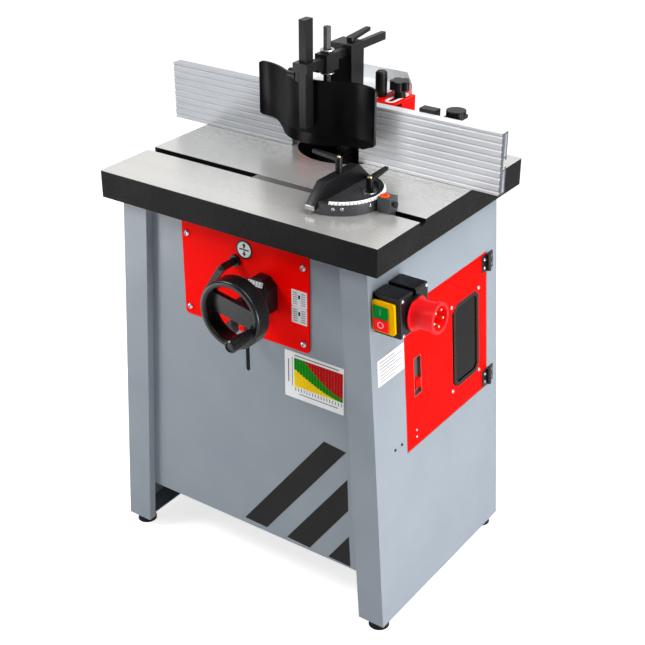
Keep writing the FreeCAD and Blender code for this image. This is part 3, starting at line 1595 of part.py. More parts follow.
def mitre_head_lever():
    """The lever that locks the head, on its washer over the disc."""
    base = gauge_disc_bottom + disc_height - disc_recess + gap
    lever = joined([rod(V(0, 0, 0), UP, gauge_washer, gauge_washer_height),
                    clamp_handle(gauge_lever_hub, gauge_lever_height, gauge_lever_arm, gauge_lever_end,
                                 gauge_lever_thick, gauge_lever_rise)])
    lever.translate(V(gauge_lever_x, gauge_lever_y, base))
    bore = rod(V(gauge_lever_x, gauge_lever_y, base - overrun), UP, gauge_stud + running,
               disc_recess + overrun)
    return lever.cut(bore)


def mitre_fence_lever():
    """The lever on the gauge's fence block."""
    lever = joined([clamp_handle(gauge_lever_hub, gauge_lever_height, gauge_lever_arm, gauge_lever_end,
                                 gauge_lever_thick, gauge_lever_rise),
                    rod(V(0, 0, gap - block_stud_depth), UP, gauge_stud, block_stud_depth)])
    lever.rotate(V(0, 0, 0), UP, 90)
    lever.translate(V(gauge_x + disc_setback - gap - fence_block_thick / 2, slot_y,
                      gauge_disc_bottom + fence_block_height + gap))
    return lever


def machine():
    """Every node by name, placed about the spindle axis."""
    pieces = {
        "left_side_panel": side_panel(-1),
        "right_side_panel": right_side_panel(),
        "front_panel": front_panel(),
        "rear_panel": rear_panel(),
        "rubber_feet": rubber_feet(),
        "control_plate": control_plate(),
        "table": table(),
        "slideway": slideway(),
        "position_indicator": position_indicator(),
        "handwheel": handwheel(),
        "handwheel_shaft": handwheel_shaft(),
        "crank_pin": crank_pin(),
        "crank_grip": crank_grip(),
        "lead_screw": lead_screw(),
        "crown_gear": crown_gear(),
        "height_clamp_lever": height_clamp_lever(),
        "tension_knob": tension_knob(),
        "spindle_carriage": spindle_carriage(),
        "spindle_bearings": spindle_bearings(),
        "spindle_shaft": spindle_shaft(),
        "spindle_rings": spindle_rings(),
        "spindle_pulley": step_pulley(spindle_steps, 0, pulley_seat),
        "motor_pulley": step_pulley(motor_steps, pulley_centres, motor_shaft_radius),
        "drive_belt": drive_belt(),
        "motor_plate": motor_plate(),
        "motor": motor(),
        "motor_shaft": motor_shaft(),
        "door": door(),
        "door_window": door_window(),
        "latch_cup": latch_cup(),
        "latch_slider": latch_slider(),
        "door_hinge_leaves": door_hinge_leaves(),
        "door_hinge_flaps": door_hinge_flaps(),
        "switch_box_rear": box_half(box_split_y, box_back_y, -1),
        "switch_box_front": switch_box_front(),
        "switch_bezel": switch_bezel(),
        "stop_button": button(0),
        "start_button": button(1),
        "mains_inlet": mains_inlet(),
        "left_fence": fence(-fence_left_end, -fence_left_gap),
        "right_fence": fence(fence_right_gap, fence_right_end),
        "fence_hood": fence_hood(),
        "hood_back_panel": hood_back_panel(),
        "dust_port": dust_port(),
        "hood_handle": hood_handle(),
        "fence_carrier": fence_carrier(),
        "star_knob": star_knob(),
        "knurled_knob": knurled_knob(),
        "guard_post": guard_post(),
        "guard_arm": guard_arm(),
        "guard_tube": guard_tube(),
        "guard_shield": guard_shield(),
        "guard_lever": guard_lever(),
        "guard_knob": guard_knob(),
        "mitre_bar": mitre_bar(),
        "pointer_block": pointer_block(),
        "mitre_head": mitre_head(),
        "mitre_fence": mitre_fence(),
        "mitre_head_lever": mitre_head_lever(),
        "mitre_fence_lever": mitre_fence_lever(),
    }
    return {name: grouped(shapes) for name, shapes in pieces.items()}


def footing(shapes):
    """The move that brings the middle of the machine's footprint to the origin."""
    boxes = [shape.optimalBoundingBox() for shape in shapes]
    x = (min(b.XMin for b in boxes) + max(b.XMax for b in boxes)) / 2
    y = (min(b.YMin for b in boxes) + max(b.YMax for b in boxes)) / 2
    return V(-x, -y, 0)


nodes = machine()
shift = footing(nodes.values())
os.makedirs("parts", exist_ok=True)
for name, shape in nodes.items():
    shape.translate(shift)
    shape.exportStep(os.path.join("parts", name + ".step"))
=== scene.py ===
"""Looks of a spindle moulder: finishes, small fittings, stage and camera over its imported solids."""

import logging
import math
from dataclasses import dataclass, fields, replace
from enum import Enum

import bpy
import numpy as np
from mathutils import Matrix, Vector
from numpy.typing import ArrayLike, NDArray


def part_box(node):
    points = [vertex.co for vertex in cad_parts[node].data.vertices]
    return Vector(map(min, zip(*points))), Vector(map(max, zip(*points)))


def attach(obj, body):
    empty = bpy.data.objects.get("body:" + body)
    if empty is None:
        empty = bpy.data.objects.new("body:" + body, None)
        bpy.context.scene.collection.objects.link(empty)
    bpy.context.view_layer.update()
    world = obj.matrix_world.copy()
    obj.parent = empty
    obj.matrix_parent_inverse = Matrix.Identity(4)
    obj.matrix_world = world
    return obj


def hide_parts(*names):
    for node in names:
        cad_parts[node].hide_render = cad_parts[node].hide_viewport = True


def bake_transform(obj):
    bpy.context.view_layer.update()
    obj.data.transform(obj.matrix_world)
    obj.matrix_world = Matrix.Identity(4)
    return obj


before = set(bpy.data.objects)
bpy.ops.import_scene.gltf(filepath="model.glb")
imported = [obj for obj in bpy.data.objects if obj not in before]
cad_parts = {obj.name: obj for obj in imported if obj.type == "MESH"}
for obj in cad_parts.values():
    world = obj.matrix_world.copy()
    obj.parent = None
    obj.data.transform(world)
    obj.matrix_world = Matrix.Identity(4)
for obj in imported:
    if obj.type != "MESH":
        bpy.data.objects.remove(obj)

LOG = logging.getLogger("spindle_moulder")
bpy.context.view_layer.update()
Array = NDArray[np.float64]
Pair = tuple[float, float]
Triple = tuple[float, float, float]
Rgb = tuple[int, int, int]
Socket = bpy.types.NodeSocket
Outputs = bpy.types.bpy_prop_collection
Value = float | Socket
MM = 0.001
X_AXIS, Y_AXIS, Z_AXIS = np.eye(3)
EVEN = (1.0, 1.0, 1.0)
# Angles past which an edge is drawn sharp, joined faces stay apart and an edge is rounded.
SHARP_ANGLE, FLAT_ANGLE, EASE_ANGLE = np.radians([32.0, 0.6, 38.0]).tolist()
# Metres: gap that is welded before rounding, and reach of the rubbed edges, which carry rubbing marks and a
# painted highlight.
WELD_GAP = 0.00001
RUB_RADIUS = 0.0015
COAT_ROUGHNESS = 0.12
PANE_IOR = 1.49
# Millimetres: thickness of printed marks, and the rounding that gets more faces across it.
FILM = 0.3
BROAD_EDGE = 2.0
# Size of a font over the height of its figures.
FONT_SIZE = 1.4
# Where a groove's brightness changes, in shares of the pitch, and its brightness before and after.
GROOVE_SHADES = ((0.3, 0.38, 0.84, 1.15), (0.48, 0.56, 1.0, 0.5), (0.62, 0.76, 1.0, 1.46))
# Profiles of turned fittings: radius and height, for the screw head in shares of its radius.
SCREW_HEAD = [(1.0, 0.0), (1.0, 0.25), (0.94, 0.42), (0.78, 0.56), (0.5, 0.62), (0.46, 0.6), (0.44, 0.3)]
RIVET = [(2.6, 0.0), (2.4, 0.7), (1.6, 1.3), (0.6, 1.5)]
CONTACT_PIN = [(3.0, 0.0), (3.0, 17.6), (2.6, 18.8), (1.6, 19.6), (0.6, 19.9)]
ROD_WASHER = [(8.6, 0.0), (13.6, 0.0), (14.2, 0.6), (14.2, 1.8), (13.6, 2.4), (8.6, 2.4)]
LEVER_WASHER = [(8.4, 0.0), (12.6, 0.0), (12.9, 0.5), (12.9, 2.0), (12.2, 2.5), (8.4, 2.5)]
POINTER_RING = [(4.6, 0.0), (8.6, 0.0), (9.4, 1.4), (8.6, 3.0), (6.6, 3.6), (5.2, 2.6)]
THUMB_SCREW = [(3.0, 0.0), (3.0, 3.0), (5.2, 3.0), (5.6, 3.6), (5.6, 8.4), (5.0, 9.0), (1.2, 9.2)]
# Width of the rounding along the edges of solids.
EASED_EDGES = {"control_plate": 0.5, "position_indicator": 5.0, "switch_box_rear": 1.4,
               "switch_box_front": 1.4, "table": 1.2, "fence_carrier": 0.7, "left_fence": 0.4,
               "right_fence": 0.4, "guard_arm": 0.8, "guard_post": 0.8, "guard_tube": 1.6, "mitre_bar": 0.5,
               "pointer_block": 0.7, "mitre_fence": 0.8}


class Ends(Enum):
    """What closes the two ends of a skin."""

    CAPPED = "filled"
    JOINED = "joined to each other"


class Axis(Enum):
    """An axis of the shared frame."""

    X = "X"
    Y = "Y"
    Z = "Z"


class Relief(Enum):
    """Fine relief: stretch along x, y and z, scale per metre, detail and bump height in metres."""

    POWDER = (EVEN, 420.0, 3.0, 0.00012)
    CAST = (EVEN, 190.0, 6.0, 0.0009)
    MOULDED = (EVEN, 700.0, 2.0, 0.0002)
    RUBBER = (EVEN, 300.0, 5.0, 0.0005)
    DRAWN_X = ((0.02, 1.0, 1.0), 900.0, 2.0, 0.00012)
    GROUND = ((0.05, 1.0, 1.0), 500.0, 2.0, 0.00001)
    PRINT = (EVEN, 250.0, 1.0, 0.00005)

    def __init__(self, stretch: Triple, scale: float, detail: float, height: float) -> None:
        """Names the four values."""
        self.stretch = stretch
        self.scale = scale
        self.detail = detail
        self.height = height


def unit(vectors: Array) -> Array:
    """Scales vectors along the last axis to length one."""
    return vectors / np.linalg.norm(vectors, axis=-1, keepdims=True)


def linear(colour: Rgb) -> tuple[float, float, float, float]:
    """Turns a written screen colour into the linear one that shaders take.

    Args:
        colour: Red, green and blue from 0 to 255.

    Returns:
        Linear red, green, blue and an alpha of 1.
    """
    share = np.asarray(colour) / 255.0
    low, high = share / 12.92, ((share + 0.055) / 1.055) ** 2.4
    return (*np.where(share <= 0.04045, low, high).tolist(), 1.0)


def spindle_axis() -> Array:
    """Finds where the spindle's axis meets the floor, in metres of the shared frame."""
    low, high = (np.array(corner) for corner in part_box("spindle_shaft"))
    return (low + high) / 2 * np.array([1.0, 1.0, 0.0])


def solid_box(node: str) -> tuple[Array, Array]:
    """Finds a solid's low and high corners in millimetres from the spindle's axis and the floor."""
    low, high = (np.array(corner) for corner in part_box(node))
    return (low - spindle_axis()) / MM, (high - spindle_axis()) / MM


@dataclass(frozen=True)
class Surface:
    """A mesh held as whole arrays.

    Attributes:
        points: x, y and z of each vertex in millimetres.
        faces: Vertex numbers of each polygon, counter-clockwise seen from outside.
    """

    points: Array
    faces: list[list[int]]

    def placed(self, origin: ArrayLike, normal: ArrayLike, up: ArrayLike) -> "Surface":
        """Carries local right, up and out to a place on the machine.

        A point (a, b, c) goes to origin + a right + b up + c normal, where right is up x normal.

        Args:
            origin: Where the local origin goes.
            normal: Direction of the local third axis.
            up: Direction near the local second axis.

        Returns:
            The same surface in the machine's axes.
        """
        out = unit(np.asarray(normal, float))
        right = unit(np.cross(up, out))
        axes = np.stack([right, np.cross(out, right), out])
        return Surface(np.asarray(origin) + self.points @ axes, self.faces)

    def standing(self, x: float, y: float, z: float) -> "Surface":
        """Stands the surface at a place, its third axis to the front."""
        return self.placed((x, y, z), -Y_AXIS, Z_AXIS)

    def lying(self, x: float, y: float, z: float) -> "Surface":
        """Lays the surface at a place, its third axis upwards."""
        return self.placed((x, y, z), Z_AXIS, Y_AXIS)


def merged(parts: list[Surface]) -> Surface:
    """Puts surfaces into one, with the vertex numbers moved on.

    Args:
        parts: The surfaces.

    Returns:
        The whole.
    """
    starts = np.cumsum([0] + [len(part.points) for part in parts[:-1]]).tolist()
    faces = [[start + number for number in face] for part, start in zip(parts, starts) for face in part.faces]
    return Surface(np.concatenate([part.points for part in parts]), faces)


def skin(rings: Array, ends: Ends = Ends.CAPPED) -> Surface:
    """Joins closed rings of points by quads, ring (i, j) to (i, j + 1), (i + 1, j + 1) and (i + 1, j).

    Args:
        rings: Points as (rings, points in a ring, 3), each ring counter-clockwise about the travel.
        ends: Whether the end rings are filled or joined to each other.

    Returns:
        The closed surface.
    """
    stations, around, _ = rings.shape
    index = np.arange(stations * around).reshape(stations, around)
    rows = np.concatenate([index, index[:1]]) if ends is Ends.JOINED else index
    beside = np.roll(rows, -1, axis=1)
    quads = np.stack([rows[:-1], beside[:-1], beside[1:], rows[1:]], axis=-1).reshape(-1, 4).tolist()
    caps = [] if ends is Ends.JOINED else [index[0, ::-1].tolist(), index[-1].tolist()]
    return Surface(rings.reshape(-1, 3), quads + caps)


def circle(radius: float, sides: int = 40) -> Array:
    """Outline of a circle about the origin."""
    angle = np.linspace(0, 2 * np.pi, sides, endpoint=False)
    return radius * np.stack([np.cos(angle), np.sin(angle)], axis=-1)


def flat_ring(outline: Array, height: float) -> Array:
    """Lifts a flat outline to a height along the local third axis."""
    return np.concatenate([outline, np.full((len(outline), 1), height)], axis=-1)


def turned(profile: list[Pair], sides: int = 32, ends: Ends = Ends.CAPPED) -> Surface:
    """Turns a profile about the local third axis: (r cos t, r sin t, h) over the angle t.

    Args:
        profile: Radius and height along the profile, outside first and upwards.
        sides: Points round the axis.
        ends: How the first and last rings are closed.

    Returns:
        The turned surface.
    """
    return skin(np.stack([flat_ring(circle(radius, sides), height) for radius, height in profile]), ends)


def screw(radius: float) -> Surface:
    """A round socket screw head: a domed profile with a well, turned about its axis."""
    return turned([(r * radius, h * radius) for r, h in SCREW_HEAD], 24)


def inset(outline: Array, distance: float) -> Array:
    """Moves the corners of an outline along their mitres, so that each side shifts inwards.

    Args:
        outline: Corners, counter-clockwise.
        distance: How far each side shifts.

    Returns:
        The new corners.
    """
    ahead = unit(np.roll(outline, -1, axis=0) - outline)
    left = np.stack([-ahead[:, 1], ahead[:, 0]], axis=-1)
    behind = np.roll(left, 1, axis=0)
    return outline + distance * (left + behind) / (1 + np.sum(left * behind, axis=-1, keepdims=True))


def slab(outline: Array, thick: float, ease: float = 0.0) -> Surface:
    """Carries an outline straight up from zero to a thickness, drawn in by the ease at its top edge."""
    levels = [(0.0, 0.0), (thick - ease, 0.0), (thick, ease)] if ease else [(0.0, 0.0), (thick, 0.0)]
    return skin(np.stack([flat_ring(inset(outline, drawn), height) for height, drawn in levels]))


def band(outline: Array, width: float, thick: float) -> Surface:
    """Carries a square section round an outline: outer low, outer high, inner high, inner low, and back.

    Args:
        outline: Outer edge, counter-clockwise.
        width: Width of the section inwards.
        thick: Its height.

    Returns:
        The closed band.
    """
    section = [(0.0, 0.0), (0.0, thick), (width, thick), (width, 0.0)]
    rings = [flat_ring(inset(outline, drawn), height) for drawn, height in section]
    return skin(np.stack(rings), Ends.JOINED)


def rectangle(width: float, height: float, radius: float, steps: int = 4) -> Array:
    """Outline of a rectangle about the origin whose corners are quarter circles.

    Args:
        width: Full width.
        height: Full height.
        radius: Radius of the corners.
        steps: Points round a corner.

    Returns:
        The outline, counter-clockwise.
    """
    angle = np.linspace(0, np.pi / 2, steps) + np.pi / 2 * np.arange(4)[:, None]
    middle = np.array([[1, 1], [-1, 1], [-1, -1], [1, -1]]) * (np.array([width, height]) / 2 - radius)
    return (middle[:, None, :] + radius * np.stack([np.cos(angle), np.sin(angle)], axis=-1)).reshape(-1, 2)


def plate(width: float, height: float, radius: float, thick: float = FILM, ease: float = 0.0) -> Surface:
    """A slab whose outline is a rectangle with round corners."""
    return slab(rectangle(width, height, radius), thick, ease)


def figures(text: str, height: float, thick: float) -> Surface:
    """Numerals or marks as a flat raised surface about the local origin.

    Args:
        text: The characters.
        height: Height of a character in millimetres.
        thick: How far they stand up.

    Returns:
        The raised characters.
    """
    curve = bpy.data.curves.new("figures", "FONT")
    curve.body, curve.size, curve.align_x, curve.align_y = text, height * FONT_SIZE, "CENTER", "CENTER"
    curve.extrude, curve.resolution_u = thick, 3
    holder = bpy.data.objects.new("figures", curve)
    mesh = bpy.data.meshes.new_from_object(holder)
    points = np.empty(len(mesh.vertices) * 3, dtype=np.float32)
    mesh.vertices.foreach_get("co", points)
    faces = [list(polygon.vertices) for polygon in mesh.polygons]
    bpy.data.objects.remove(holder)
    bpy.data.curves.remove(curve)
    bpy.data.meshes.remove(mesh)
    return Surface(points.reshape(-1, 3).astype(float), faces)


class Bench:
    """Places shader nodes in one tree and joins their sockets."""

    def __init__(self, tree: bpy.types.NodeTree) -> None:
        """Starts on the emptied tree of a material, a world or a group."""
        self.tree = tree
        tree.nodes.clear()

    def feed(self, node: bpy.types.Node, **inputs: object) -> Outputs:
        """Sets or links inputs by name, with _ for a blank, or by _ and their number.

        Args:
            node: The node to feed.
            **inputs: Sockets to link from, or constants to set.

        Returns:
            The node's outputs.
        """
        for name, value in inputs.items():
            socket = node.inputs[int(name[1:]) if name[1:].isdigit() else name.replace("_", " ")]
            if isinstance(value, Socket):
                self.tree.links.new(value, socket)
            else:
                socket.default_value = value
        return node.outputs

    def add(self, kind: str, settings: dict[str, object] | None = None, **inputs: object) -> Outputs:
        """Adds a node and feeds it.

        Args:
            kind: Kind of node, without the leading ShaderNode.
            settings: Its properties.
            **inputs: What it is fed.

        Returns:
            The node's outputs.
        """
        node = self.tree.nodes.new("ShaderNode" + kind)
        for name, value in (settings or {}).items():
            setattr(node, name, value)
        return self.feed(node, **inputs)

    def group(self, tree: bpy.types.NodeTree, **inputs: object) -> Outputs:
        """Adds a node group and feeds its named inputs."""
        return self.add("Group", {"node_tree": tree}, **inputs)

    def place(self) -> Socket:
        """The point on the surface, in metres of the shared frame."""
        return self.add("TexCoord")["Object"]

    def noise(self, vector: Socket, scale: Value, detail: Value, roughness: float = 0.5) -> Socket:
        """Cloudy noise from 0 to 1."""
        return self.add("TexNoise", Vector=vector, Scale=scale, Detail=detail, Roughness=roughness)["Fac"]

    def spread(self, value: Socket, low: float, high: float, start: Value = 0.0, end: Value = 1.0) -> Socket:
        """Carries a value from between two limits to between two others, and holds it past them."""
        return self.add("MapRange", Value=value, From_Min=low, From_Max=high, To_Min=start,
                        To_Max=end)["Result"]

    def math(self, operation: str, first: Value, second: Value = 0.5) -> Socket:
        """Works out one value from one or two."""
        return self.add("Math", {"operation": operation}, _0=first, _1=second)[0]

    def mix(self, share: Value, near: Value, far: Value) -> Socket:
        """Blends two values by a share."""
        return self.add("Mix", _0=share, _2=near, _3=far)[0]

    def tint(self, share: Value, near: object, far: object) -> Socket:
        """Blends two colours by a share."""
        return self.add("Mix", {"data_type": "RGBA"}, _0=share, _6=near, _7=far)[2]


def new_group(name: str, inputs: dict[str, str],
              outputs: dict[str, str]) -> tuple[Bench, Outputs, bpy.types.Node]:
    """Starts a shader node group with named sockets.

    Args:
        name: Name of the group.
        inputs: Kind of socket by input name.
        outputs: Kind of socket by output name.

    Returns:
        The group's bench, what it is given and its output node.
    """
    tree = bpy.data.node_groups.new(name, "ShaderNodeTree")
    for way, sockets in (("INPUT", inputs), ("OUTPUT", outputs)):
        for label, kind in sockets.items():
            tree.interface.new_socket(label, in_out=way, socket_type="NodeSocket" + kind)
    bench = Bench(tree)
    return bench, tree.nodes.new("NodeGroupInput").outputs, tree.nodes.new("NodeGroupOutput")


class Effects:
    """Shader groups that many finishes share, each built once."""

    def __init__(self) -> None:
        """Builds the groups."""
        self.tone = self.tone_drift()
        self.relief = self.fine_relief()
        self.edge = self.rubbed_edge()
        self.grooves = self.grooved_face()

    @staticmethod
    def tone_drift() -> bpy.types.NodeTree:
        """Slow change between two tones: cloudy noise, stretched in contrast, picks between them.

        Returns:
            The group's tree.
        """
        bench, given, put_out = new_group(
            "tone_drift", {"Vector": "Vector", "Scale": "Float", "Tone": "Color", "Second Tone": "Color"},
            {"Color": "Color"})
        share = bench.spread(bench.noise(given["Vector"], given["Scale"], 5.0, 0.6), 0.3, 0.7)
        bench.feed(put_out, Color=bench.tint(share, given["Tone"], given["Second Tone"]))
        return bench.tree

    @staticmethod
    def fine_relief() -> bpy.types.NodeTree:
        """Fine grain: noise gives the height and, mixed with slow noise, a roughness between two values.

        Returns:
            The group's tree.
        """
        bench, given, put_out = new_group(
            "fine_relief",
            {"Vector": "Vector", "Scale": "Float", "Detail": "Float", "Smooth": "Float", "Rough": "Float"},
            {"Height": "Float", "Roughness": "Float"})
        grain = bench.noise(given["Vector"], given["Scale"], given["Detail"], 0.55)
        both = bench.mix(0.5, grain, bench.noise(given["Vector"], 9.0, 4.0))
        rough = bench.spread(both, 0.35, 0.65, given["Smooth"], given["Rough"])
        bench.feed(put_out, Height=grain, Roughness=rough)
        return bench.tree

    @staticmethod
    def rubbed_edge() -> bpy.types.NodeTree:
        """Rubbing marks and a painted highlight along edges: where the rounded normal turns from the true
        one, broken up by noise.

        Returns:
            The group's tree.
        """
        bench, given, put_out = new_group(
            "rubbed_edge", {"Vector": "Vector", "Radius": "Float", "Amount": "Float"}, {"Mask": "Float"})
        rounded = bench.add("Bevel", {"samples": 4}, Radius=given["Radius"])["Normal"]
        flat = bench.add("NewGeometry")["Normal"]
        turn = bench.add("VectorMath", {"operation": "DOT_PRODUCT"}, _0=rounded, _1=flat)
        bent = bench.spread(turn["Value"], 0.97, 0.8)
        broken = bench.spread(bench.noise(given["Vector"], 70.0, 5.0), 0.42, 0.62)
        worn = bench.math("MULTIPLY", bench.math("MULTIPLY", bent, broken), given["Amount"])
        bench.feed(put_out, Mask=worn)
        return bench.tree

    @staticmethod
    def grooved_face() -> bpy.types.NodeTree:
        """Light and shade of level grooves: the share of a pitch above the low end picks the brightness.

        It is light on a groove's lower half and dark on its upper one, in front of the given depth only.

        Returns:
            The group's tree.
        """
        bench, given, put_out = new_group(
            "grooved_face",
            {"Vector": "Vector", "Low": "Float", "Pitch": "Float", "Front": "Float", "Color": "Color"},
            {"Color": "Color"})
        way = bench.add("SeparateXYZ", Vector=given["Vector"])
        above = bench.math("SUBTRACT", way["Z"], given["Low"])
        share = bench.math("FRACT", bench.math("DIVIDE", above, given["Pitch"]))
        light, dark, clear = [bench.spread(share, *shade) for shade in GROOVE_SHADES]
        level = bench.math("MULTIPLY", bench.math("MULTIPLY", light, dark), clear)
        shaded = bench.add("VectorMath", {"operation": "SCALE"}, _0=given["Color"], Scale=level)[0]
        ahead = bench.math("LESS_THAN", way["Y"], given["Front"])
        bench.feed(put_out, Color=bench.tint(ahead, given["Color"], shaded))
        return bench.tree


EFFECTS = Effects()


@dataclass(frozen=True)
class Layers:
    """What a finish puts out before the shader takes it: sockets, and the metallic share where it is even."""

    colour: Socket
    roughness: Socket
    height: Socket
    metallic: Value


@dataclass(frozen=True)
class Finish:
    """One surface treatment.

    Attributes:
        name: Name of the finish.
        colour: Main screen colour.
        second: Colour that the main one drifts to.
        slot: Name of the record's material slot; not used.
        roughness: Lowest and highest roughness.
        relief: Fine relief.
        metallic: 1 for bare metal.
        wear: How far edges are rubbed, from 0, which also sets their painted highlight.
        worn: Colour of a rubbed edge, partly rubbing and partly painted highlight.
        drift: Scale of the slow change per metre.
        coat: Weight of a clear coat.
        shine: Strength of the mirror-like part, 0.5 for a plain plastic.
    """

    name: str
    colour: Rgb
    second: Rgb
    slot: str
    roughness: Pair
    relief: Relief = Relief.MOULDED
    metallic: float = 0.0
    wear: float = 0.0
    worn: Rgb = (150, 150, 150)
    drift: float = 7.0
    coat: float = 0.0
    shine: float = 0.3

    def layers(self, bench: Bench) -> Layers:
        """Builds the colour, roughness and height of this finish.

        Args:
            bench: Bench of the material.

        Returns:
            The layers.
        """
        place = bench.place()
        mapped = bench.add("Mapping", Vector=place, Scale=self.relief.stretch)["Vector"]
        tone = bench.group(EFFECTS.tone, Vector=mapped, Scale=self.drift, Tone=linear(self.colour),
                           Second_Tone=linear(self.second))["Color"]
        grain = bench.group(EFFECTS.relief, Vector=mapped, Scale=self.relief.scale, Detail=self.relief.detail,
                            Smooth=self.roughness[0], Rough=self.roughness[1])
        # Rubbed edges take their edge colour: partly rubbing, partly a painted highlight.
        if self.wear:
            rub = bench.group(EFFECTS.edge, Vector=place, Radius=RUB_RADIUS, Amount=self.wear)
            tone = bench.tint(rub["Mask"], tone, linear(self.worn))
        return Layers(tone, grain["Roughness"], grain["Height"], self.metallic)

    def passing(self) -> dict[str, float]:
        """Values of the shader for light that passes; none where nothing shows through."""
        return {}

    def material(self) -> bpy.types.Material:
        """Makes the material, once for each name: the layers feed the shader, and the shader the output.

        Returns:
            The material.
        """
        name = self.name + "_finish"
        made = bpy.data.materials.get(name)
        if made is None:
            made = bpy.data.materials.new(name)
            made.use_nodes = True
            bench = Bench(made.node_tree)
            layers = self.layers(bench)
            bump = bench.add("Bump", Height=layers.height, Distance=self.relief.height, Strength=1.0)
            shade = bench.add("BsdfPrincipled", Base_Color=layers.colour, Roughness=layers.roughness,
                              Normal=bump["Normal"], Metallic=layers.metallic, Coat_Weight=self.coat,
                              Coat_Roughness=COAT_ROUGHNESS, Specular_IOR_Level=self.shine, **self.passing())
            bench.add("OutputMaterial", Surface=shade["BSDF"])
        return made


@dataclass(frozen=True)
class TwoTone(Finish):
    """A finish that changes to another past a level along one axis.

    Attributes:
        beyond: Finish past the level.
        axis: The axis.
        level: Where it changes, in metres of the shared frame.
    """

    beyond: Finish | None = None
    axis: Axis = Axis.Z
    level: float = 0.0

    def layers(self, bench: Bench) -> Layers:
        """Picks between the layers of both finishes by the level.

        Args:
            bench: Bench of the material.

        Returns:
            The picked layers.
        """
        near, far = super().layers(bench), self.beyond.layers(bench)
        way = bench.add("SeparateXYZ", Vector=bench.place())
        past = bench.math("GREATER_THAN", way[self.axis.value], self.level)
        lower = bench.math("MULTIPLY", far.height, self.beyond.relief.height / self.relief.height)
        metal = near.metallic
        if near.metallic != far.metallic:
            metal = bench.mix(past, near.metallic, far.metallic)
        colour = bench.tint(past, near.colour, far.colour)
        rough = bench.mix(past, near.roughness, far.roughness)
        return Layers(colour, rough, bench.mix(past, near.height, lower), metal)


@dataclass(frozen=True)
class Grooved(TwoTone):
    """A finish with the light and shade of level grooves on its front face, and another finish past a level.

    Attributes:
        low: Height where the first pitch starts, in metres.
        pitch: Distance between grooves in metres.
        front: Depth in front of which the grooves lie, in metres of the shared frame.
    """

    low: float = 0.0
    pitch: float = 0.01
    front: float = 0.0

    def layers(self, bench: Bench) -> Layers:
        """Shades the picked colour by the grooves.

        Args:
            bench: Bench of the material.

        Returns:
            The shaded layers.
        """
        picked = super().layers(bench)
        shaded = bench.group(EFFECTS.grooves, Vector=bench.place(), Low=self.low, Pitch=self.pitch,
                             Front=self.front, Color=picked.colour)
        return replace(picked, colour=shaded["Color"])


@dataclass(frozen=True)
class Glazing(Finish):
    """A see-through pane.

    Attributes:
        clear: Share of light that passes.
    """

    clear: float = 0.4

    def passing(self) -> dict[str, float]:
        """Lets light through the shader."""
        return {"Transmission_Weight": self.clear, "IOR": PANE_IOR}


def changing(finish: Finish, name: str, beyond: Finish, axis: Axis, level: float) -> TwoTone:
    """Copies a finish into one that changes to another past a level.

    Args:
        finish: The finish before the level.
        name: Name of the new finish.
        beyond: The finish past the level.
        axis: Axis of the level.
        level: Where it changes, in metres of the shared frame.

    Returns:
        The new finish.
    """
    kept = {field.name: getattr(finish, field.name) for field in fields(finish)} | {"name": name}
    return TwoTone(**kept, beyond=beyond, axis=axis, level=level)


def printed(name: str, colour: Rgb, second: Rgb, slot: str, shine: float = 0.3) -> Finish:
    """A printed film: smooth, even and half matt."""
    return Finish(name, colour, second, slot, (0.4, 0.55), Relief.PRINT, shine=shine)


# The edge colours of these finishes are partly rubbing and partly painted highlight.
GREY_PAINT = Finish("grey_powder_coat", (136, 144, 152), (129, 138, 147), "grey_paint", (0.38, 0.52),
                    Relief.POWDER, wear=0.3, worn=(182, 187, 192), coat=0.08)
RED_PAINT = Finish("red_powder_coat", (255, 8, 3), (244, 6, 2), "red_paint", (0.36, 0.5), Relief.POWDER,
                   wear=0.25, worn=(244, 70, 56), shine=0.02)
HOOD_RED = Finish("red_hood_coat", (244, 10, 6), (226, 8, 5), "red_paint", (0.36, 0.5), Relief.POWDER,
                  wear=0.45, worn=(235, 160, 150), shine=0.06)
LIGHT_GREY = Finish("light_grey_coat", (232, 235, 238), (224, 228, 231), "light_grey_paint", (0.38, 0.52),
                    Relief.POWDER, wear=0.3, worn=(228, 230, 232))
BLACK_PAINT = Finish("black_satin_coat", (16, 16, 18), (11, 11, 13), "black_paint", (0.3, 0.42),
                     Relief.POWDER, wear=0.5, worn=(92, 92, 95))
BLACK_PLASTIC = Finish("black_moulded_plastic", (16, 16, 19), (11, 11, 13), "black_plastic", (0.3, 0.42),
                       wear=0.2, worn=(50, 50, 54), shine=0.25)
GLOSSY_BLACK = Finish("black_glossy_plastic", (7, 7, 9), (5, 5, 6), "black_plastic", (0.14, 0.2), shine=0.09)
WHEEL_BLACK = Finish("black_polished_plastic", (13, 13, 15), (9, 9, 11), "black_plastic", (0.2, 0.3),
                     shine=0.4)
GREY_PLASTIC = Finish("grey_moulding", (92, 86, 82), (78, 73, 70), "black_plastic", (0.4, 0.55), shine=0.1)
YELLOW_PLASTIC = Finish("yellow_moulding", (236, 178, 0), (226, 166, 0), "yellow_plastic", (0.36, 0.48),
                        shine=0.02)
GREEN_PLASTIC = Finish("green_moulding", (1, 132, 48), (0, 118, 42), "green_plastic", (0.36, 0.48),
                       shine=0.02)
RED_PLASTIC = Finish("red_moulding", (255, 30, 36), (247, 24, 30), "red_plastic", (0.3, 0.4), shine=0.04)
ORANGE_PLASTIC = Finish("orange_moulding", (250, 88, 16), (238, 74, 10), "red_plastic", (0.35, 0.5))
RUBBER = Finish("moulded_rubber", (24, 24, 25), (18, 18, 19), "rubber", (0.6, 0.8), Relief.RUBBER, shine=0.15)
PANE_BLACK = Finish("smoked_edge", (38, 37, 36), (30, 29, 28), "smoked_glass", (0.25, 0.4), Relief.PRINT,
                    shine=0.08)
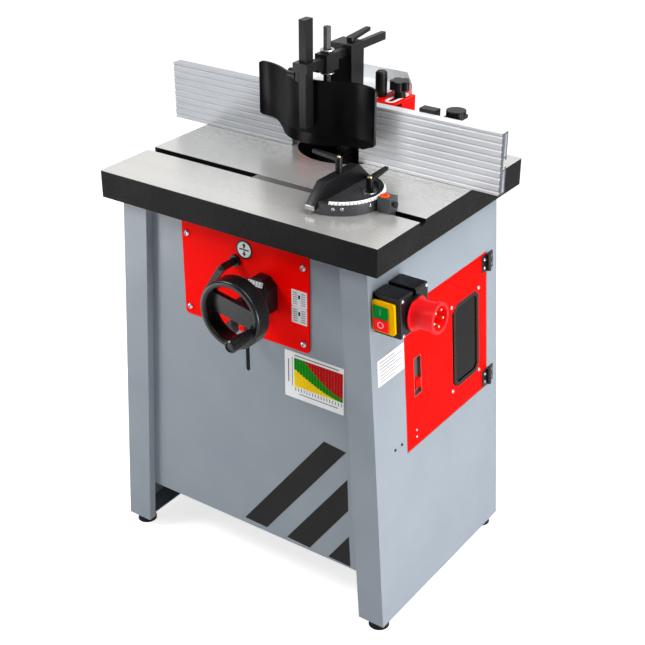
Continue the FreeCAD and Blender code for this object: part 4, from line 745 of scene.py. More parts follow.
SMOKED = Glazing("smoked_pane", (20, 19, 18), (14, 13, 13), "smoked_glass", (0.14, 0.24), Relief.PRINT,
                 shine=0.05, clear=0.1)
STEEL = Finish("bright_steel", (204, 206, 210), (182, 185, 190), "machined_steel", (0.2, 0.36), metallic=1.0)
DARK_STEEL = Finish("blued_steel", (58, 60, 64), (44, 46, 50), "machined_steel", (0.3, 0.45), metallic=0.8)
BRASS = Finish("brass", (216, 196, 140), (196, 172, 116), "machined_steel", (0.22, 0.36), metallic=1.0)
DRAWN_BAR = Finish("drawn_steel_bar", (160, 160, 158), (140, 140, 138), "machined_steel", (0.3, 0.45),
                   Relief.DRAWN_X, 0.9, drift=20.0)
ALUMINIUM = Finish("drawn_aluminium", (242, 244, 248), (232, 235, 240), "aluminium", (0.4, 0.52),
                   Relief.DRAWN_X, 0.3, drift=30.0)
SAWN = Finish("sawn_aluminium", (96, 99, 105), (80, 84, 90), "aluminium", (0.5, 0.6), Relief.CAST, 0.3)
CASTING = Finish("raw_casting", (92, 94, 96), (72, 74, 76), "iron_casting", (0.5, 0.7), Relief.CAST, 0.4)
GROUND_IRON = Finish("ground_iron", (222, 221, 218), (215, 214, 211), "cast_iron", (0.24, 0.28),
                     Relief.GROUND, 0.7, drift=16.0)
TABLE_IRON = TwoTone("table_iron", (20, 18, 18), (13, 12, 12), "cast_iron", (0.42, 0.6), Relief.CAST,
                     wear=0.6, worn=(104, 100, 96), shine=0.1, beyond=GROUND_IRON, level=0.8496)
PALE_PRINT = printed("pale_print", (222, 223, 224), (214, 215, 216), "light_grey_paint", 0.1)
WHITE_PRINT = printed("white_print", (240, 240, 240), (228, 229, 230), "light_grey_paint")
GREY_PRINT = printed("grey_print", (104, 106, 112), (88, 90, 96), "light_grey_paint")
BLACK_PRINT = printed("black_print", (18, 18, 19), (25, 25, 26), "black_paint", 0.15)
YELLOW_PRINT = printed("yellow_print", (250, 212, 0), (242, 204, 0), "yellow_plastic", 0.05)
GREEN_PRINT = printed("green_print", (0, 138, 4), (0, 126, 2), "green_plastic", 0.05)
RED_PRINT = printed("red_print", (190, 0, 4), (178, 0, 3), "red_plastic", 0.05)
PALE_GREEN = printed("pale_green_print", (70, 168, 104), (60, 156, 94), "green_plastic", 0.06)
PALE_RED = printed("pale_red_print", (226, 178, 180), (216, 166, 168), "red_plastic", 0.06)


def in_scene(name: str, data: bpy.types.ID) -> bpy.types.Object:
    """Makes an object of its data, at the origin, and links it to the scene.

    Args:
        name: Name of the object.
        data: Its mesh, light or camera.

    Returns:
        The object.
    """
    made = bpy.data.objects.new(name, data)
    bpy.context.scene.collection.objects.link(made)
    return made


def form(name: str, parts: list[Surface], finish: Finish) -> bpy.types.Object:
    """Makes one piece of the parts and gives it a finish.

    Args:
        name: Name of the piece.
        parts: Surfaces in millimetres from the spindle's axis and the floor.
        finish: Its finish.

    Returns:
        The finished object, at the origin.
    """
    whole = merged(parts)
    mesh = bpy.data.meshes.new(name)
    mesh.from_pydata((whole.points * MM + spindle_axis()).tolist(), [], whole.faces)
    mesh.polygons.foreach_set("use_smooth", np.ones(len(mesh.polygons), dtype=bool))
    mesh.set_sharp_from_angle(angle=SHARP_ANGLE)
    mesh.materials.append(finish.material())
    piece = in_scene(name, mesh)
    LOG.info("piece %s: %d faces", name, len(mesh.polygons))
    return piece


def put(name: str, parts: list[Surface], finish: Finish, body: str = "base") -> bpy.types.Object:
    """Makes one piece of the parts in a finish and lets it ride on a body."""
    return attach(form(name, parts, finish), body)


def ease_edges(solid: bpy.types.Object, width: float) -> None:
    """Rounds the sharp edges of a solid by modifiers alone.

    Args:
        solid: The solid.
        width: Width of the rounding in millimetres.
    """
    weld = solid.modifiers.new("weld", "WELD")
    weld.merge_threshold = WELD_GAP
    flat = solid.modifiers.new("flat", "DECIMATE")
    flat.decimate_type, flat.angle_limit = "DISSOLVE", FLAT_ANGLE
    soft = solid.modifiers.new("soft", "BEVEL")
    soft.width, soft.segments = width * MM, 2 if width < BROAD_EDGE else 4
    soft.limit_method, soft.angle_limit = "ANGLE", EASE_ANGLE
    soft.use_clamp_overlap = True
    soft.harden_normals = False


class SubAssembly:
    """A group of solids with its finishes and fittings, in millimetres from the spindle and the floor."""

    def finishes(self) -> dict[str, Finish]:
        """Names the finish of each solid."""
        raise NotImplementedError

    def build(self) -> None:
        """Adds the fittings; some groups have none."""

    def dress(self) -> None:
        """Gives each solid its finish and rounds the edges of those that have a width for it."""
        for node, finish in self.finishes().items():
            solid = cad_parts[node]
            if not solid.material_slots:
                solid.data.materials.append(None)
            for place in solid.material_slots:
                place.material = finish.material()
            if node in EASED_EDGES:
                ease_edges(solid, EASED_EDGES[node])
            LOG.info("solid %s: %s", node, finish.name)


@dataclass
class Cabinet(SubAssembly):
    """Sheet-steel cabinet, its feet and its bare plates and stripes.

    Attributes:
        panel_y: Front panel's face.
        top_half: Half width at the top.
        bottom_half: Half width at the bottom.
        top_z: Top of the cabinet.
        bottom_z: Bottom of the cabinet.
        stripes: Corners of the slanting bands, across and in height.
        sheet: Middle across and in height of the chart's sheet.
        chart_field: Left, bottom, width and height of the chart's coloured field.
        chart_columns: Columns across the field.
        chart_thick: How far the chart's print stands off the panel.
        rating: Middle along the depth and in height of the rating plate.
        rating_thick: Its thickness.
        rules: Width of its even and odd rules, and how far they are shifted to the front.
        screws: Places of the side's screws along the depth, and their height.
    """

    panel_y: float = -346.0
    top_half: float = 283.0
    bottom_half: float = 337.0
    top_z: float = 795.0
    bottom_z: float = 20.0
    stripes: tuple[tuple[Pair, ...], ...] = (((180.5, 392.6), (-20.3, 127.9), (37.3, 126.6), (232.3, 386.7)),
                                             ((236.0, 325.6), (88.6, 124.6), (145.9, 122.0), (238.7, 253.0)),
                                             ((241.0, 191.7), (191.8, 120.5), (245.5, 119.0)))
    sheet: Pair = (158.0, 517.5)
    chart_field: tuple[float, float, float, float] = (112.0, 494.0, 112.0, 62.0)
    chart_columns: int = 17
    chart_thick: float = 0.6
    rating: Pair = (-299.5, 579.0)
    rating_thick: float = 0.6
    rules: tuple[Pair, Pair] = ((50.0, 13.0), (76.0, 0.0))
    screws: tuple[Pair, Pair] = ((-296.0, 394.7), (-272.0, 394.7))

    def finishes(self) -> dict[str, Finish]:
        """Grey sheet all round on rubber feet."""
        sheets = ("left_side_panel", "right_side_panel", "front_panel", "rear_panel")
        return dict.fromkeys(sheets, GREY_PAINT) | {"rubber_feet": RUBBER}

    def side_out(self) -> Array:
        """Direction straight out of the splayed right side."""
        splay = (self.bottom_half - self.top_half) / (self.top_z - self.bottom_z)
        return unit(np.array([1.0, 0.0, splay]))

    def side_point(self, y: float, z: float, proud: float = 0.0) -> Array:
        """A point on the right side's face, or that far out of it.

        Args:
            y: Place along the depth.
            z: Height.
            proud: Distance out of the face.

        Returns:
            The point in millimetres.
        """
        share = (self.top_z - z) / (self.top_z - self.bottom_z)
        x = self.top_half + (self.bottom_half - self.top_half) * share
        return np.array([x, y, z]) + self.side_out() * proud

    def on_side(self, part: Surface, y: float, z: float, proud: float = 0.0) -> Surface:
        """Sets a surface on the right side's face."""
        return part.placed(self.side_point(y, z, proud), self.side_out(), Z_AXIS)

    def on_front(self, part: Surface, x: float, z: float) -> Surface:
        """Sets a surface on the front panel."""
        return part.standing(x, self.panel_y, z)

    def chart_bands(self) -> list[list[Surface]]:
        """Three bands of a speed chart in columns.

        Over the share u across, their tops fall as (1 - u) to the power of 1.6.

        Returns:
            The low, middle and high bands as thin slabs.
        """
        left, bottom, width, height = self.chart_field
        share = np.linspace(0.02, 0.98, self.chart_columns)
        fall = (1 - share) ** 1.6
        tops = [np.zeros_like(share), 0.61 * fall, np.minimum(0.14 + 1.25 * fall, 0.99), np.ones_like(share)]
        levels = bottom + height * np.stack(tops)
        step = width / self.chart_columns
        middles = left + step * (np.arange(self.chart_columns) + 0.5)
        return [[self.on_front(plate(step - 0.3, high - low, 0.1, self.chart_thick), x, (high + low) / 2)
                 for x, low, high in zip(middles, lows, highs)]
                for lows, highs in zip(levels[:-1], levels[1:])]

    def chart_rules(self) -> list[Surface]:
        """Plain rules and ticks round the chart's field, from rows of their middle, width and height.

        Returns:
            The rules and ticks as thin slabs.
        """
        left, bottom, width, height = self.chart_field
        x, z, step = left + width / 2, bottom + height / 2, width / self.chart_columns
        rows = [(left + step * (i + 0.5), bottom - 6.0, 1.6, 7.0) for i in range(self.chart_columns)]
        rows += [(left - 4.5, z, 1.2, height), (left - 13.0, z, 2.2, 0.8 * height),
                 (x - 4.0, bottom + height + 5.5, 0.9 * width, 2.0), (x, bottom - 15.0, 0.8 * width, 1.6)]
        return [self.on_front(plate(wide, tall, 0.2, self.chart_thick), x, z) for x, z, wide, tall in rows]

    def build(self) -> None:
        """Adds the stripes, the chart, the blank rating plate and two screws low on the side."""
        stripes = [self.on_front(slab(np.array(corners), FILM), 0, 0) for corners in self.stripes]
        put("front_stripes", stripes, BLACK_PRINT)
        put("chart_sheet", [self.on_front(plate(136, 101, 2, 0.35, 0.1), *self.sheet)], WHITE_PRINT)
        put("chart_rules", self.chart_rules(), GREY_PRINT)
        prints = {"low": YELLOW_PRINT, "middle": GREEN_PRINT, "high": RED_PRINT}
        for (name, finish), parts in zip(prints.items(), self.chart_bands()):
            put("chart_band_" + name, parts, finish)
        y, z = self.rating
        put("rating_plate", [self.on_side(plate(90, 54, 2.0, self.rating_thick, 0.2), y, z)], PALE_PRINT)
        rules = [self.on_side(plate(wide, 1.3, 0.2), y - shift, z + 20 - row * 6.6, self.rating_thick)
                 for row, (wide, shift) in enumerate((self.rules * 4)[:7])]
        put("rating_plate_rules", rules, GREY_PRINT)
        put("side_screws", [self.on_side(screw(3.0), *place) for place in self.screws], DARK_STEEL)


@dataclass
class ControlFront(SubAssembly):
    """Control plate with the hand wheel, the counter, the clamp lever and the belt knob.

    Attributes:
        plate_y: Face of the control plate.
        knob_reach: How far in front of the plate the dark knob ends and its bright rod starts.
        screws: Places of the plate's screws, across and in height.
        disc: Middle of the travel disc.
        arrow: Corners of its upper arrow.
        sticker_x: Middle of the stickers.
        sticker_levels: Their heights.
        counter_slope: Depth and height of the counter's sloped face.
        counter: Middle of the counter's window across, and its distance up the sloped face.
        drum_pitch: Distance between the counter's drums.
        clamp_hub: Axis of the clamp lever, across and in height.
    """

    plate_y: float = -349.0
    knob_reach: float = 34.0
    screws: tuple[Pair, ...] = ((-137.0, 751.0), (137.0, 751.0), (-137.5, 594.0), (137.5, 594.0))
    disc: Pair = (2.0, 752.0)
    arrow: tuple[Pair, ...] = ((-1.6, 3.0), (1.6, 3.0), (1.6, 8.0), (4.2, 8.0), (0.0, 13.0), (-4.2, 8.0),
                               (-1.6, 8.0))
    sticker_x: float = 127.6
    sticker_levels: Pair = (685.2, 650.5)
    counter_slope: Pair = (14.0, 32.0)
    counter: Pair = (48.5, 25.5)
    drum_pitch: float = 7.0
    clamp_hub: Pair = (-19.0, 725.0)

    def finishes(self) -> dict[str, Finish]:
        """Red plate, black wheel and levers, dark knob on a bright rod.

        Returns:
            The finish of each solid.
        """
        level = spindle_axis()[1] + (self.plate_y - self.knob_reach) * MM
        knob = TwoTone("belt_knob", (46, 47, 51), (38, 39, 43), "black_plastic", (0.35, 0.5), shine=0.2,
                       beyond=STEEL, axis=Axis.Y, level=level)
        return {"control_plate": RED_PAINT, "handwheel": WHEEL_BLACK, "handwheel_shaft": STEEL,
                "crank_pin": DARK_STEEL, "crank_grip": WHEEL_BLACK, "position_indicator": BLACK_PLASTIC,
                "height_clamp_lever": BLACK_PLASTIC, "tension_knob": knob, "lead_screw": STEEL,
                "crown_gear": STEEL, "slideway": CASTING}

    def on_plate(self, part: Surface, x: float, z: float, proud: float = 0.0) -> Surface:
        """Sets a surface on the control plate's face."""
        return part.standing(x, self.plate_y - proud, z)

    def on_counter(self, part: Surface, x: float, proud: float = 0.0) -> Surface:
        """Sets a surface on the counter's sloped face, at the height of its window.

        Args:
            part: The surface.
            x: Place across.
            proud: Distance out of the face.

        Returns:
            The surface on the counter.
        """
        fall, height = self.counter_slope
        low, high = solid_box("position_indicator")
        normal = unit(np.array([0.0, -height, fall]))
        up = unit(np.array([0.0, fall, height]))
        origin = np.array([x, low[1], high[2] - height]) + up * self.counter[1] + normal * proud
        return part.placed(origin, normal, up)

    def build(self) -> None:
        """Adds screws, the pictogram disc, blank stickers and the counter's window."""
        put("plate_screws", [self.on_plate(screw(6.2), *place) for place in self.screws], STEEL)
        put("travel_disc_ring", [self.on_plate(band(circle(19.0), 3.2, 0.8), *self.disc)], BLACK_PRINT)
        put("travel_disc", [self.on_plate(slab(circle(15.8), 0.6), *self.disc)], LIGHT_GREY)
        arrows = [slab(way * np.array(self.arrow), 1.1) for way in (1.0, -1.0)]
        marks = [self.on_plate(mark, *self.disc) for mark in arrows + [plate(22, 2.4, 0.4, 1.1)]]
        put("travel_disc_marks", marks, BLACK_PRINT)
        x, levels = self.sticker_x, self.sticker_levels
        put("plate_stickers", [self.on_plate(plate(35, 34, 1.5, 0.4, 0.1), x, z) for z in levels], PALE_PRINT)
        lines = [self.on_plate(plate(9.5, 1.3, 0.2), x + side, z + 11.5 - 4.6 * row, 0.4)
                 for z in levels for row in range(6) for side in (-9.0, 9.0)]
        put("plate_sticker_lines", lines, GREY_PRINT)
        marks = [self.on_plate(plate(4.0, 8.0, 0.8), x, z + 4.0, 0.4) for z in levels]
        put("plate_sticker_marks", marks, BLACK_PRINT)
        middle = self.counter[0]
        surround = band(rectangle(40, 14.5, 1.5), 2.0, 1.4)
        put("counter_frame", [self.on_counter(surround, middle)], BLACK_PLASTIC)
        drums = [middle + self.drum_pitch * (i - 2) for i in range(5)]
        drum = plate(6.6, 10.2, 0.4, 0.8, 0.3)
        put("counter_drums", [self.on_counter(drum, x) for x in drums], WHITE_PRINT)
        marks = [self.on_counter(figures(mark, 7.0, 0.15), x, 0.8) for x, mark in zip(drums, "01250")]
        put("counter_figures", marks, BLACK_PRINT)
        x, z = self.clamp_hub
        front = solid_box("height_clamp_lever")[0][1]
        put("clamp_hub_screw", [screw(4.4).standing(x, front, z)], DARK_STEEL, "height_clamp_lever")


@dataclass
class Works(SubAssembly):
    """Spindle, carriage, belt drive and motor inside the cabinet.

    Attributes:
        belt_thick: Thickness of the belt.
        belt_ribs: Ribs along its inner face.
        rib_depth: Depth between the ribs.
        belt_edge: Width of the cut along its outer edges.
        belt_steps: Points round the motor's end, along a straight run and round the spindle's end.
        belt_give: Shares of the way to the motor's axis for the belt's change over to the motor; the points
            worked out from them are not used.
    """

    belt_thick: float = 4.0
    belt_ribs: int = 4
    rib_depth: float = 1.4
    belt_edge: float = 0.6
    belt_steps: tuple[int, int, int] = (40, 12, 32)
    belt_give: Pair = (0.3, 0.6)

    def belt(self, reach: float) -> Surface:
        """The ribbed belt: its section carried round two circles and along their common tangents.

        The tangents touch both circles at the angle whose cosine is the radii's difference over the reach.

        Args:
            reach: Distance from the spindle's axis to the motor's.

        Returns:
            The closed loop.
        """
        low, high = solid_box("drive_belt")
        near, far = -low[0], high[0] - reach
        touch = math.acos((near - far) / reach)
        far_steps, run_steps, near_steps = self.belt_steps
        run = np.linspace(1.0, 0.0, run_steps + 2)[1:-1]
        share = np.concatenate([np.ones(far_steps), run, np.zeros(near_steps), run[::-1]])
        angle = np.concatenate([np.linspace(-touch, touch, far_steps), np.full(run_steps, touch),
                                np.linspace(touch, 2 * np.pi - touch, near_steps),
                                np.full(run_steps, -touch)])
        heights = np.linspace(low[2], high[2], 2 * self.belt_ribs + 1)
        depths = np.where(np.arange(len(heights)) % 2, self.rib_depth, 0.0) - self.belt_thick
        cut = self.belt_edge
        outer = np.array([(-cut, high[2]), (0.0, high[2] - cut), (0.0, low[2] + cut), (-cut, low[2])])
        section = np.concatenate([outer, np.stack([depths, heights], axis=-1)])
        radius = (near + (far - near) * share)[:, None] + section[:, 0]
        return skin(np.stack([reach * share[:, None] + radius * np.cos(angle)[:, None],
                              radius * np.sin(angle)[:, None],
                              np.broadcast_to(section[:, 1], radius.shape)], axis=-1), Ends.JOINED)

    def build(self) -> None:
        """Adds the ribbed belt between the spindle's pulley and the motor's in place of the solid belt."""
        low, high = solid_box("motor_shaft")
        reach = (low[0] + high[0]) / 2
        belt = form("ribbed_belt", [self.belt(reach)], RUBBER)
        start, end = (tuple(spindle_axis() + X_AXIS * reach * share * MM) for share in self.belt_give)
        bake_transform(belt)
        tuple(start)
        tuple(end)
        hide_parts("drive_belt")

    def finishes(self) -> dict[str, Finish]:
        """Castings, bright spindle parts, painted motor and rubber belt.

        Returns:
            The finish of each solid.
        """
        motor = Finish("motor_coat", (96, 104, 112), (82, 90, 98), "grey_paint", (0.4, 0.55), Relief.CAST)
        bright = ("spindle_bearings", "spindle_shaft", "spindle_rings", "motor_shaft")
        return dict.fromkeys(bright, STEEL) | {
            "spindle_carriage": CASTING, "spindle_pulley": ALUMINIUM, "motor_pulley": ALUMINIUM,
            "drive_belt": RUBBER, "motor_plate": BLACK_PAINT, "motor": motor}


@dataclass
class Door(SubAssembly):
    """Red door with its smoked pane, latch and hinges.

    Attributes:
        cabinet: The cabinet whose side carries it.
        bolt_y: Places of the pane's bolts along the depth.
        bolt_z: Their heights.
        rivet_y: Place of the rivets along the depth.
        rivet_z: Their heights.
        hinge_y: Place of the screws in the leaves and in the flaps along the depth.
        hinge_lows: Bottom of each hinge.
        hinge_screws: Height of each screw over a hinge's bottom.
        hinge_thick: Thickness of a hinge.
        gasket: Outer width and height of the window's gasket, and the cut across its corners.
        gasket_width: Width of its flat band.
        gasket_middle: Its middle along the depth and in height.
    """

    cabinet: Cabinet
    bolt_y: Pair = (-78.0, 30.0)
    bolt_z: Pair = (602.5, 417.0)
    rivet_y: float = -217.0
    rivet_z: Pair = (399.0, 384.0)
    hinge_y: Pair = (79.0, 53.0)
    hinge_lows: Pair = (369.0, 628.0)
    hinge_screws: Pair = (9.0, 27.0)
    hinge_thick: float = 2.0
    gasket: Triple = (102.0, 184.0, 14.0)
    gasket_width: float = 9.0
    gasket_middle: Pair = (-19.0, 509.5)

    def finishes(self) -> dict[str, Finish]:
        """Red sheet and slider, grey cup, black hinges."""
        return {"door": RED_PAINT, "door_window": SMOKED, "latch_cup": GREY_PLASTIC,
                "latch_slider": RED_PAINT, "door_hinge_leaves": BLACK_PAINT, "door_hinge_flaps": BLACK_PAINT}

    def build(self) -> None:
        """Adds the pane's bolts and gasket, the two rivets and the hinge screws."""
        on_side = self.cabinet.on_side
        bolts = [on_side(screw(4.2), y, z) for y in self.bolt_y for z in self.bolt_z]
        put("window_bolts", bolts, STEEL, "door")
        wide, tall, cut = self.gasket
        corner = np.array([(wide / 2, tall / 2 - cut), (wide / 2 - cut, tall / 2)])
        outline = np.concatenate([corner, corner[::-1] * [-1, 1], -corner, corner[::-1] * [1, -1]])
        gasket = on_side(band(outline, self.gasket_width, 0.5), *self.gasket_middle)
        put("window_gasket", [gasket], PANE_BLACK, "door")
        put("door_rivets", [on_side(turned(RIVET, 16), self.rivet_y, z) for z in self.rivet_z], STEEL, "door")
        for name, y, body in zip(("leaf", "flap"), self.hinge_y, ("base", "door")):
            heads = [on_side(screw(3.4), y, low + rise, self.hinge_thick) for low in self.hinge_lows
                     for rise in self.hinge_screws]
            put("hinge_%s_screws" % name, heads, STEEL, body)


@dataclass
class SwitchBox(SubAssembly):
    """Switch with its buttons and the mains inlet.

    Attributes:
        cabinet: The cabinet whose side carries it.
        inlet: Middle of the inlet along the depth and in height.
        proud: How far the box stands out.
        flange: Thickness of the inlet's black flange.
        pins: Number of contact pins.
        pin_circle: Radius of the circle that they stand on.
        pin_floor: Depth of the inlet's floor from the box.
        screw_y: Places of the box's screws along the depth.
        screw_z: Their heights.
    """

    cabinet: Cabinet
    inlet: Pair = (-304.0, 704.0)
    proud: float = 58.0
    flange: float = 4.0
    pins: int = 5
    pin_circle: float = 16.0
    pin_floor: float = 30.0
    screw_y: Pair = (-344.0, -264.0)
    screw_z: Pair = (741.0, 675.0)

    def box_point(self, y: float, z: float) -> Array:
        """A point on the box's outer face."""
        return self.cabinet.side_point(y, z) + self.proud * X_AXIS

    def finishes(self) -> dict[str, Finish]:
        """Black box, yellow bezel, green and red buttons, red inlet on a black flange.

        Returns:
            The finish of each solid.
        """
        level = spindle_axis()[0] + (self.box_point(*self.inlet)[0] + self.flange) * MM
        inlet = TwoTone("inlet_plastic", BLACK_PLASTIC.colour, BLACK_PLASTIC.second, "red_plastic",
                        (0.34, 0.46), shine=0.16, beyond=RED_PLASTIC, axis=Axis.X, level=level)
        return {"switch_box_rear": BLACK_PLASTIC, "switch_box_front": BLACK_PLASTIC,
                "switch_bezel": YELLOW_PLASTIC, "start_button": GREEN_PLASTIC, "stop_button": RED_PLASTIC,
                "mains_inlet": inlet}

    def button_mark(self, text: str, node: str) -> Surface:
        """A raised mark in the middle of a button's face.

        Args:
            text: The mark.
            node: Name of the button.

        Returns:
            The raised mark.
        """
        low, high = solid_box(node)
        x, _, z = (low + high) / 2
        return figures(text, 13.0, FILM).standing(x, low[1], z)

    def pin(self, angle: float) -> Surface:
        """One contact pin with a rounded tip, turned and set on the pin circle.

        Args:
            angle: Its place round the circle.

        Returns:
            The pin.
        """
        out = self.cabinet.side_out()
        round_it = math.cos(angle) * np.array([out[2], 0.0, -out[0]]) + math.sin(angle) * Y_AXIS
        place = self.box_point(*self.inlet) + out * self.pin_floor + self.pin_circle * round_it
        return turned(CONTACT_PIN, 16).placed(place, out, Z_AXIS)

    def build(self) -> None:
        """Adds the marks on the buttons, the contact pins and the box's screws."""
        put("start_mark", [self.button_mark("I", "start_button")], PALE_GREEN, "start_button")
        put("stop_mark", [self.button_mark("O", "stop_button")], PALE_RED, "stop_button")
        put("inlet_pins", [self.pin(2 * math.pi * i / self.pins) for i in range(self.pins)], BRASS)
        corners = [self.box_point(y, z) for y in self.screw_y for z in self.screw_z]
        out = self.cabinet.side_out()
        put("box_screws", [screw(3.6).placed(corner, out, Z_AXIS) for corner in corners], STEEL)


@dataclass
class Fence(SubAssembly):
    """Fences, hood, dust port and the carrier's knobs.

    Attributes:
        hood_top: Height of the hood's top.
        lid: Left and right end of the hood's pale lid.
        lid_edge: Width of the painted shadow, a dark red strip, along the lid's right end.
        slot_x: Middle of the star knob's slot.
        slot_y: Front and back of the slot.
        slot_width: Width of the slot.
        rim: How far the rubbed rim reaches past the slot in all, and the width of its band.
        fence_tones: Darker tones of the left fence's face, painted shade, since it stands in more light.
        grooves: Number of grooves down a fence's face.
        sawn_end: Thickness of a fence's sawn end.
        groove_depth: Depth behind a fence's face that the grooves' shading reaches.
    """

    hood_top: float = 973.3
    lid: Pair = (-100.0, 86.0)
    lid_edge: float = 3.0
    slot_x: float = 114.0
    slot_y: Pair = (-31.7, 24.3)
    slot_width: float = 9.2
    rim: Pair = (13.0, 6.0)
    fence_tones: tuple[Rgb, Rgb] = ((186, 189, 194), (176, 179, 185))
    grooves: int = 9
    sawn_end: float = 0.6
    groove_depth: float = 2.5

    def fence(self, node: str, colour: Rgb, second: Rgb) -> Grooved:
        """Grooved metal on the face of a fence and a sawn end at its right.

        Args:
            node: Name of the fence.
            colour: Main tone.
            second: Tone that it drifts to.

        Returns:
            The fence's finish.
        """
        low, high = solid_box(node)
        axis = spindle_axis()
        return Grooved(node + "_metal", colour, second, "aluminium", (0.4, 0.52), Relief.DRAWN_X, 0.3,
                       drift=30.0, beyond=SAWN, axis=Axis.X, level=axis[0] + (high[0] - self.sawn_end) * MM,
                       low=low[2] * MM, pitch=(high[2] - low[2]) / self.grooves * MM,
                       front=axis[1] + (low[1] + self.groove_depth) * MM)

    def finishes(self) -> dict[str, Finish]:
        """Bright fences, red hood with a pale lid, pale back panel and port, black knobs.

        Returns:
            The finish of each solid.
        """
        left, right = spindle_axis()[0] + np.array(self.lid) * MM
        # The dark red strip between the pale lid and the red top is painted shadow along the lid's edge.
        edge = TwoTone("lid_edge", (70, 14, 12), (60, 12, 10), "red_paint", (0.36, 0.5), Relief.POWDER,
                       beyond=HOOD_RED, axis=Axis.X, level=right)
        lid = TwoTone("hood_lid", LIGHT_GREY.colour, LIGHT_GREY.second, "red_paint", (0.38, 0.52),
                      Relief.POWDER, beyond=edge, axis=Axis.X, level=right - self.lid_edge * MM)
        top = changing(HOOD_RED, "hood_top", lid, Axis.X, left)
        # The left fence takes darker tones than the right one: painted shade against the stronger light on
        # it.
        return {"left_fence": self.fence("left_fence", *self.fence_tones),
                "right_fence": self.fence("right_fence", ALUMINIUM.colour, ALUMINIUM.second),
                "fence_hood": changing(HOOD_RED, "red_hood", top, Axis.Z, (self.hood_top - 1.0) * MM),
                "hood_back_panel": LIGHT_GREY, "dust_port": LIGHT_GREY, "hood_handle": BLACK_PLASTIC,
                "fence_carrier": BLACK_PAINT, "star_knob": BLACK_PLASTIC, "knurled_knob": BLACK_PLASTIC}

    def build(self) -> None:
        """Adds the bright rim that the knob has rubbed round its slot."""
        front, back = self.slot_y
        past, width = self.rim
        outline = rectangle(self.slot_width + past, back - front + past, 11.0, 8)
        rim = band(outline, width, 0.4).lying(self.slot_x, (front + back) / 2, self.hood_top)
        put("slot_rim", [rim], WHITE_PRINT, "hood")


@dataclass
class Guard(SubAssembly):
    """Cutter guard on its post.

    Attributes:
        rod_y: The upright rod's axis along the depth.
        head_levels: Bottom of the washers below and above the head.
        coat_end: How far over the upper washer's bottom the rod's finish starts.
    """

    rod_y: float = -77.0
    head_levels: Pair = (1020.6, 1065.5)
    coat_end: float = 2.0

    def finishes(self) -> dict[str, Finish]:
        """Black throughout, glossy on the shield, with a browned steel rod over the head.

        Returns:
            The finish of each solid.
        """
        rod = Finish("browned_rod", (60, 57, 58), (50, 47, 48), "black_paint", (0.35, 0.5),
                     Relief.DRAWN_X, 0.4)
        arm = changing(BLACK_PAINT, "guard_arm_coat", rod, Axis.Z, (self.head_levels[1] + self.coat_end) * MM)
        return {"guard_post": BLACK_PAINT, "guard_arm": arm, "guard_tube": BLACK_PAINT,
                "guard_shield": GLOSSY_BLACK, "guard_lever": BLACK_PLASTIC, "guard_knob": BLACK_PLASTIC}

    def build(self) -> None:
        """Adds the bright washers on the rod."""
        ring = turned(ROD_WASHER, 32, Ends.JOINED)
        put("rod_washers", [ring.lying(0.0, self.rod_y, z) for z in self.head_levels], STEEL, "guard_arm")


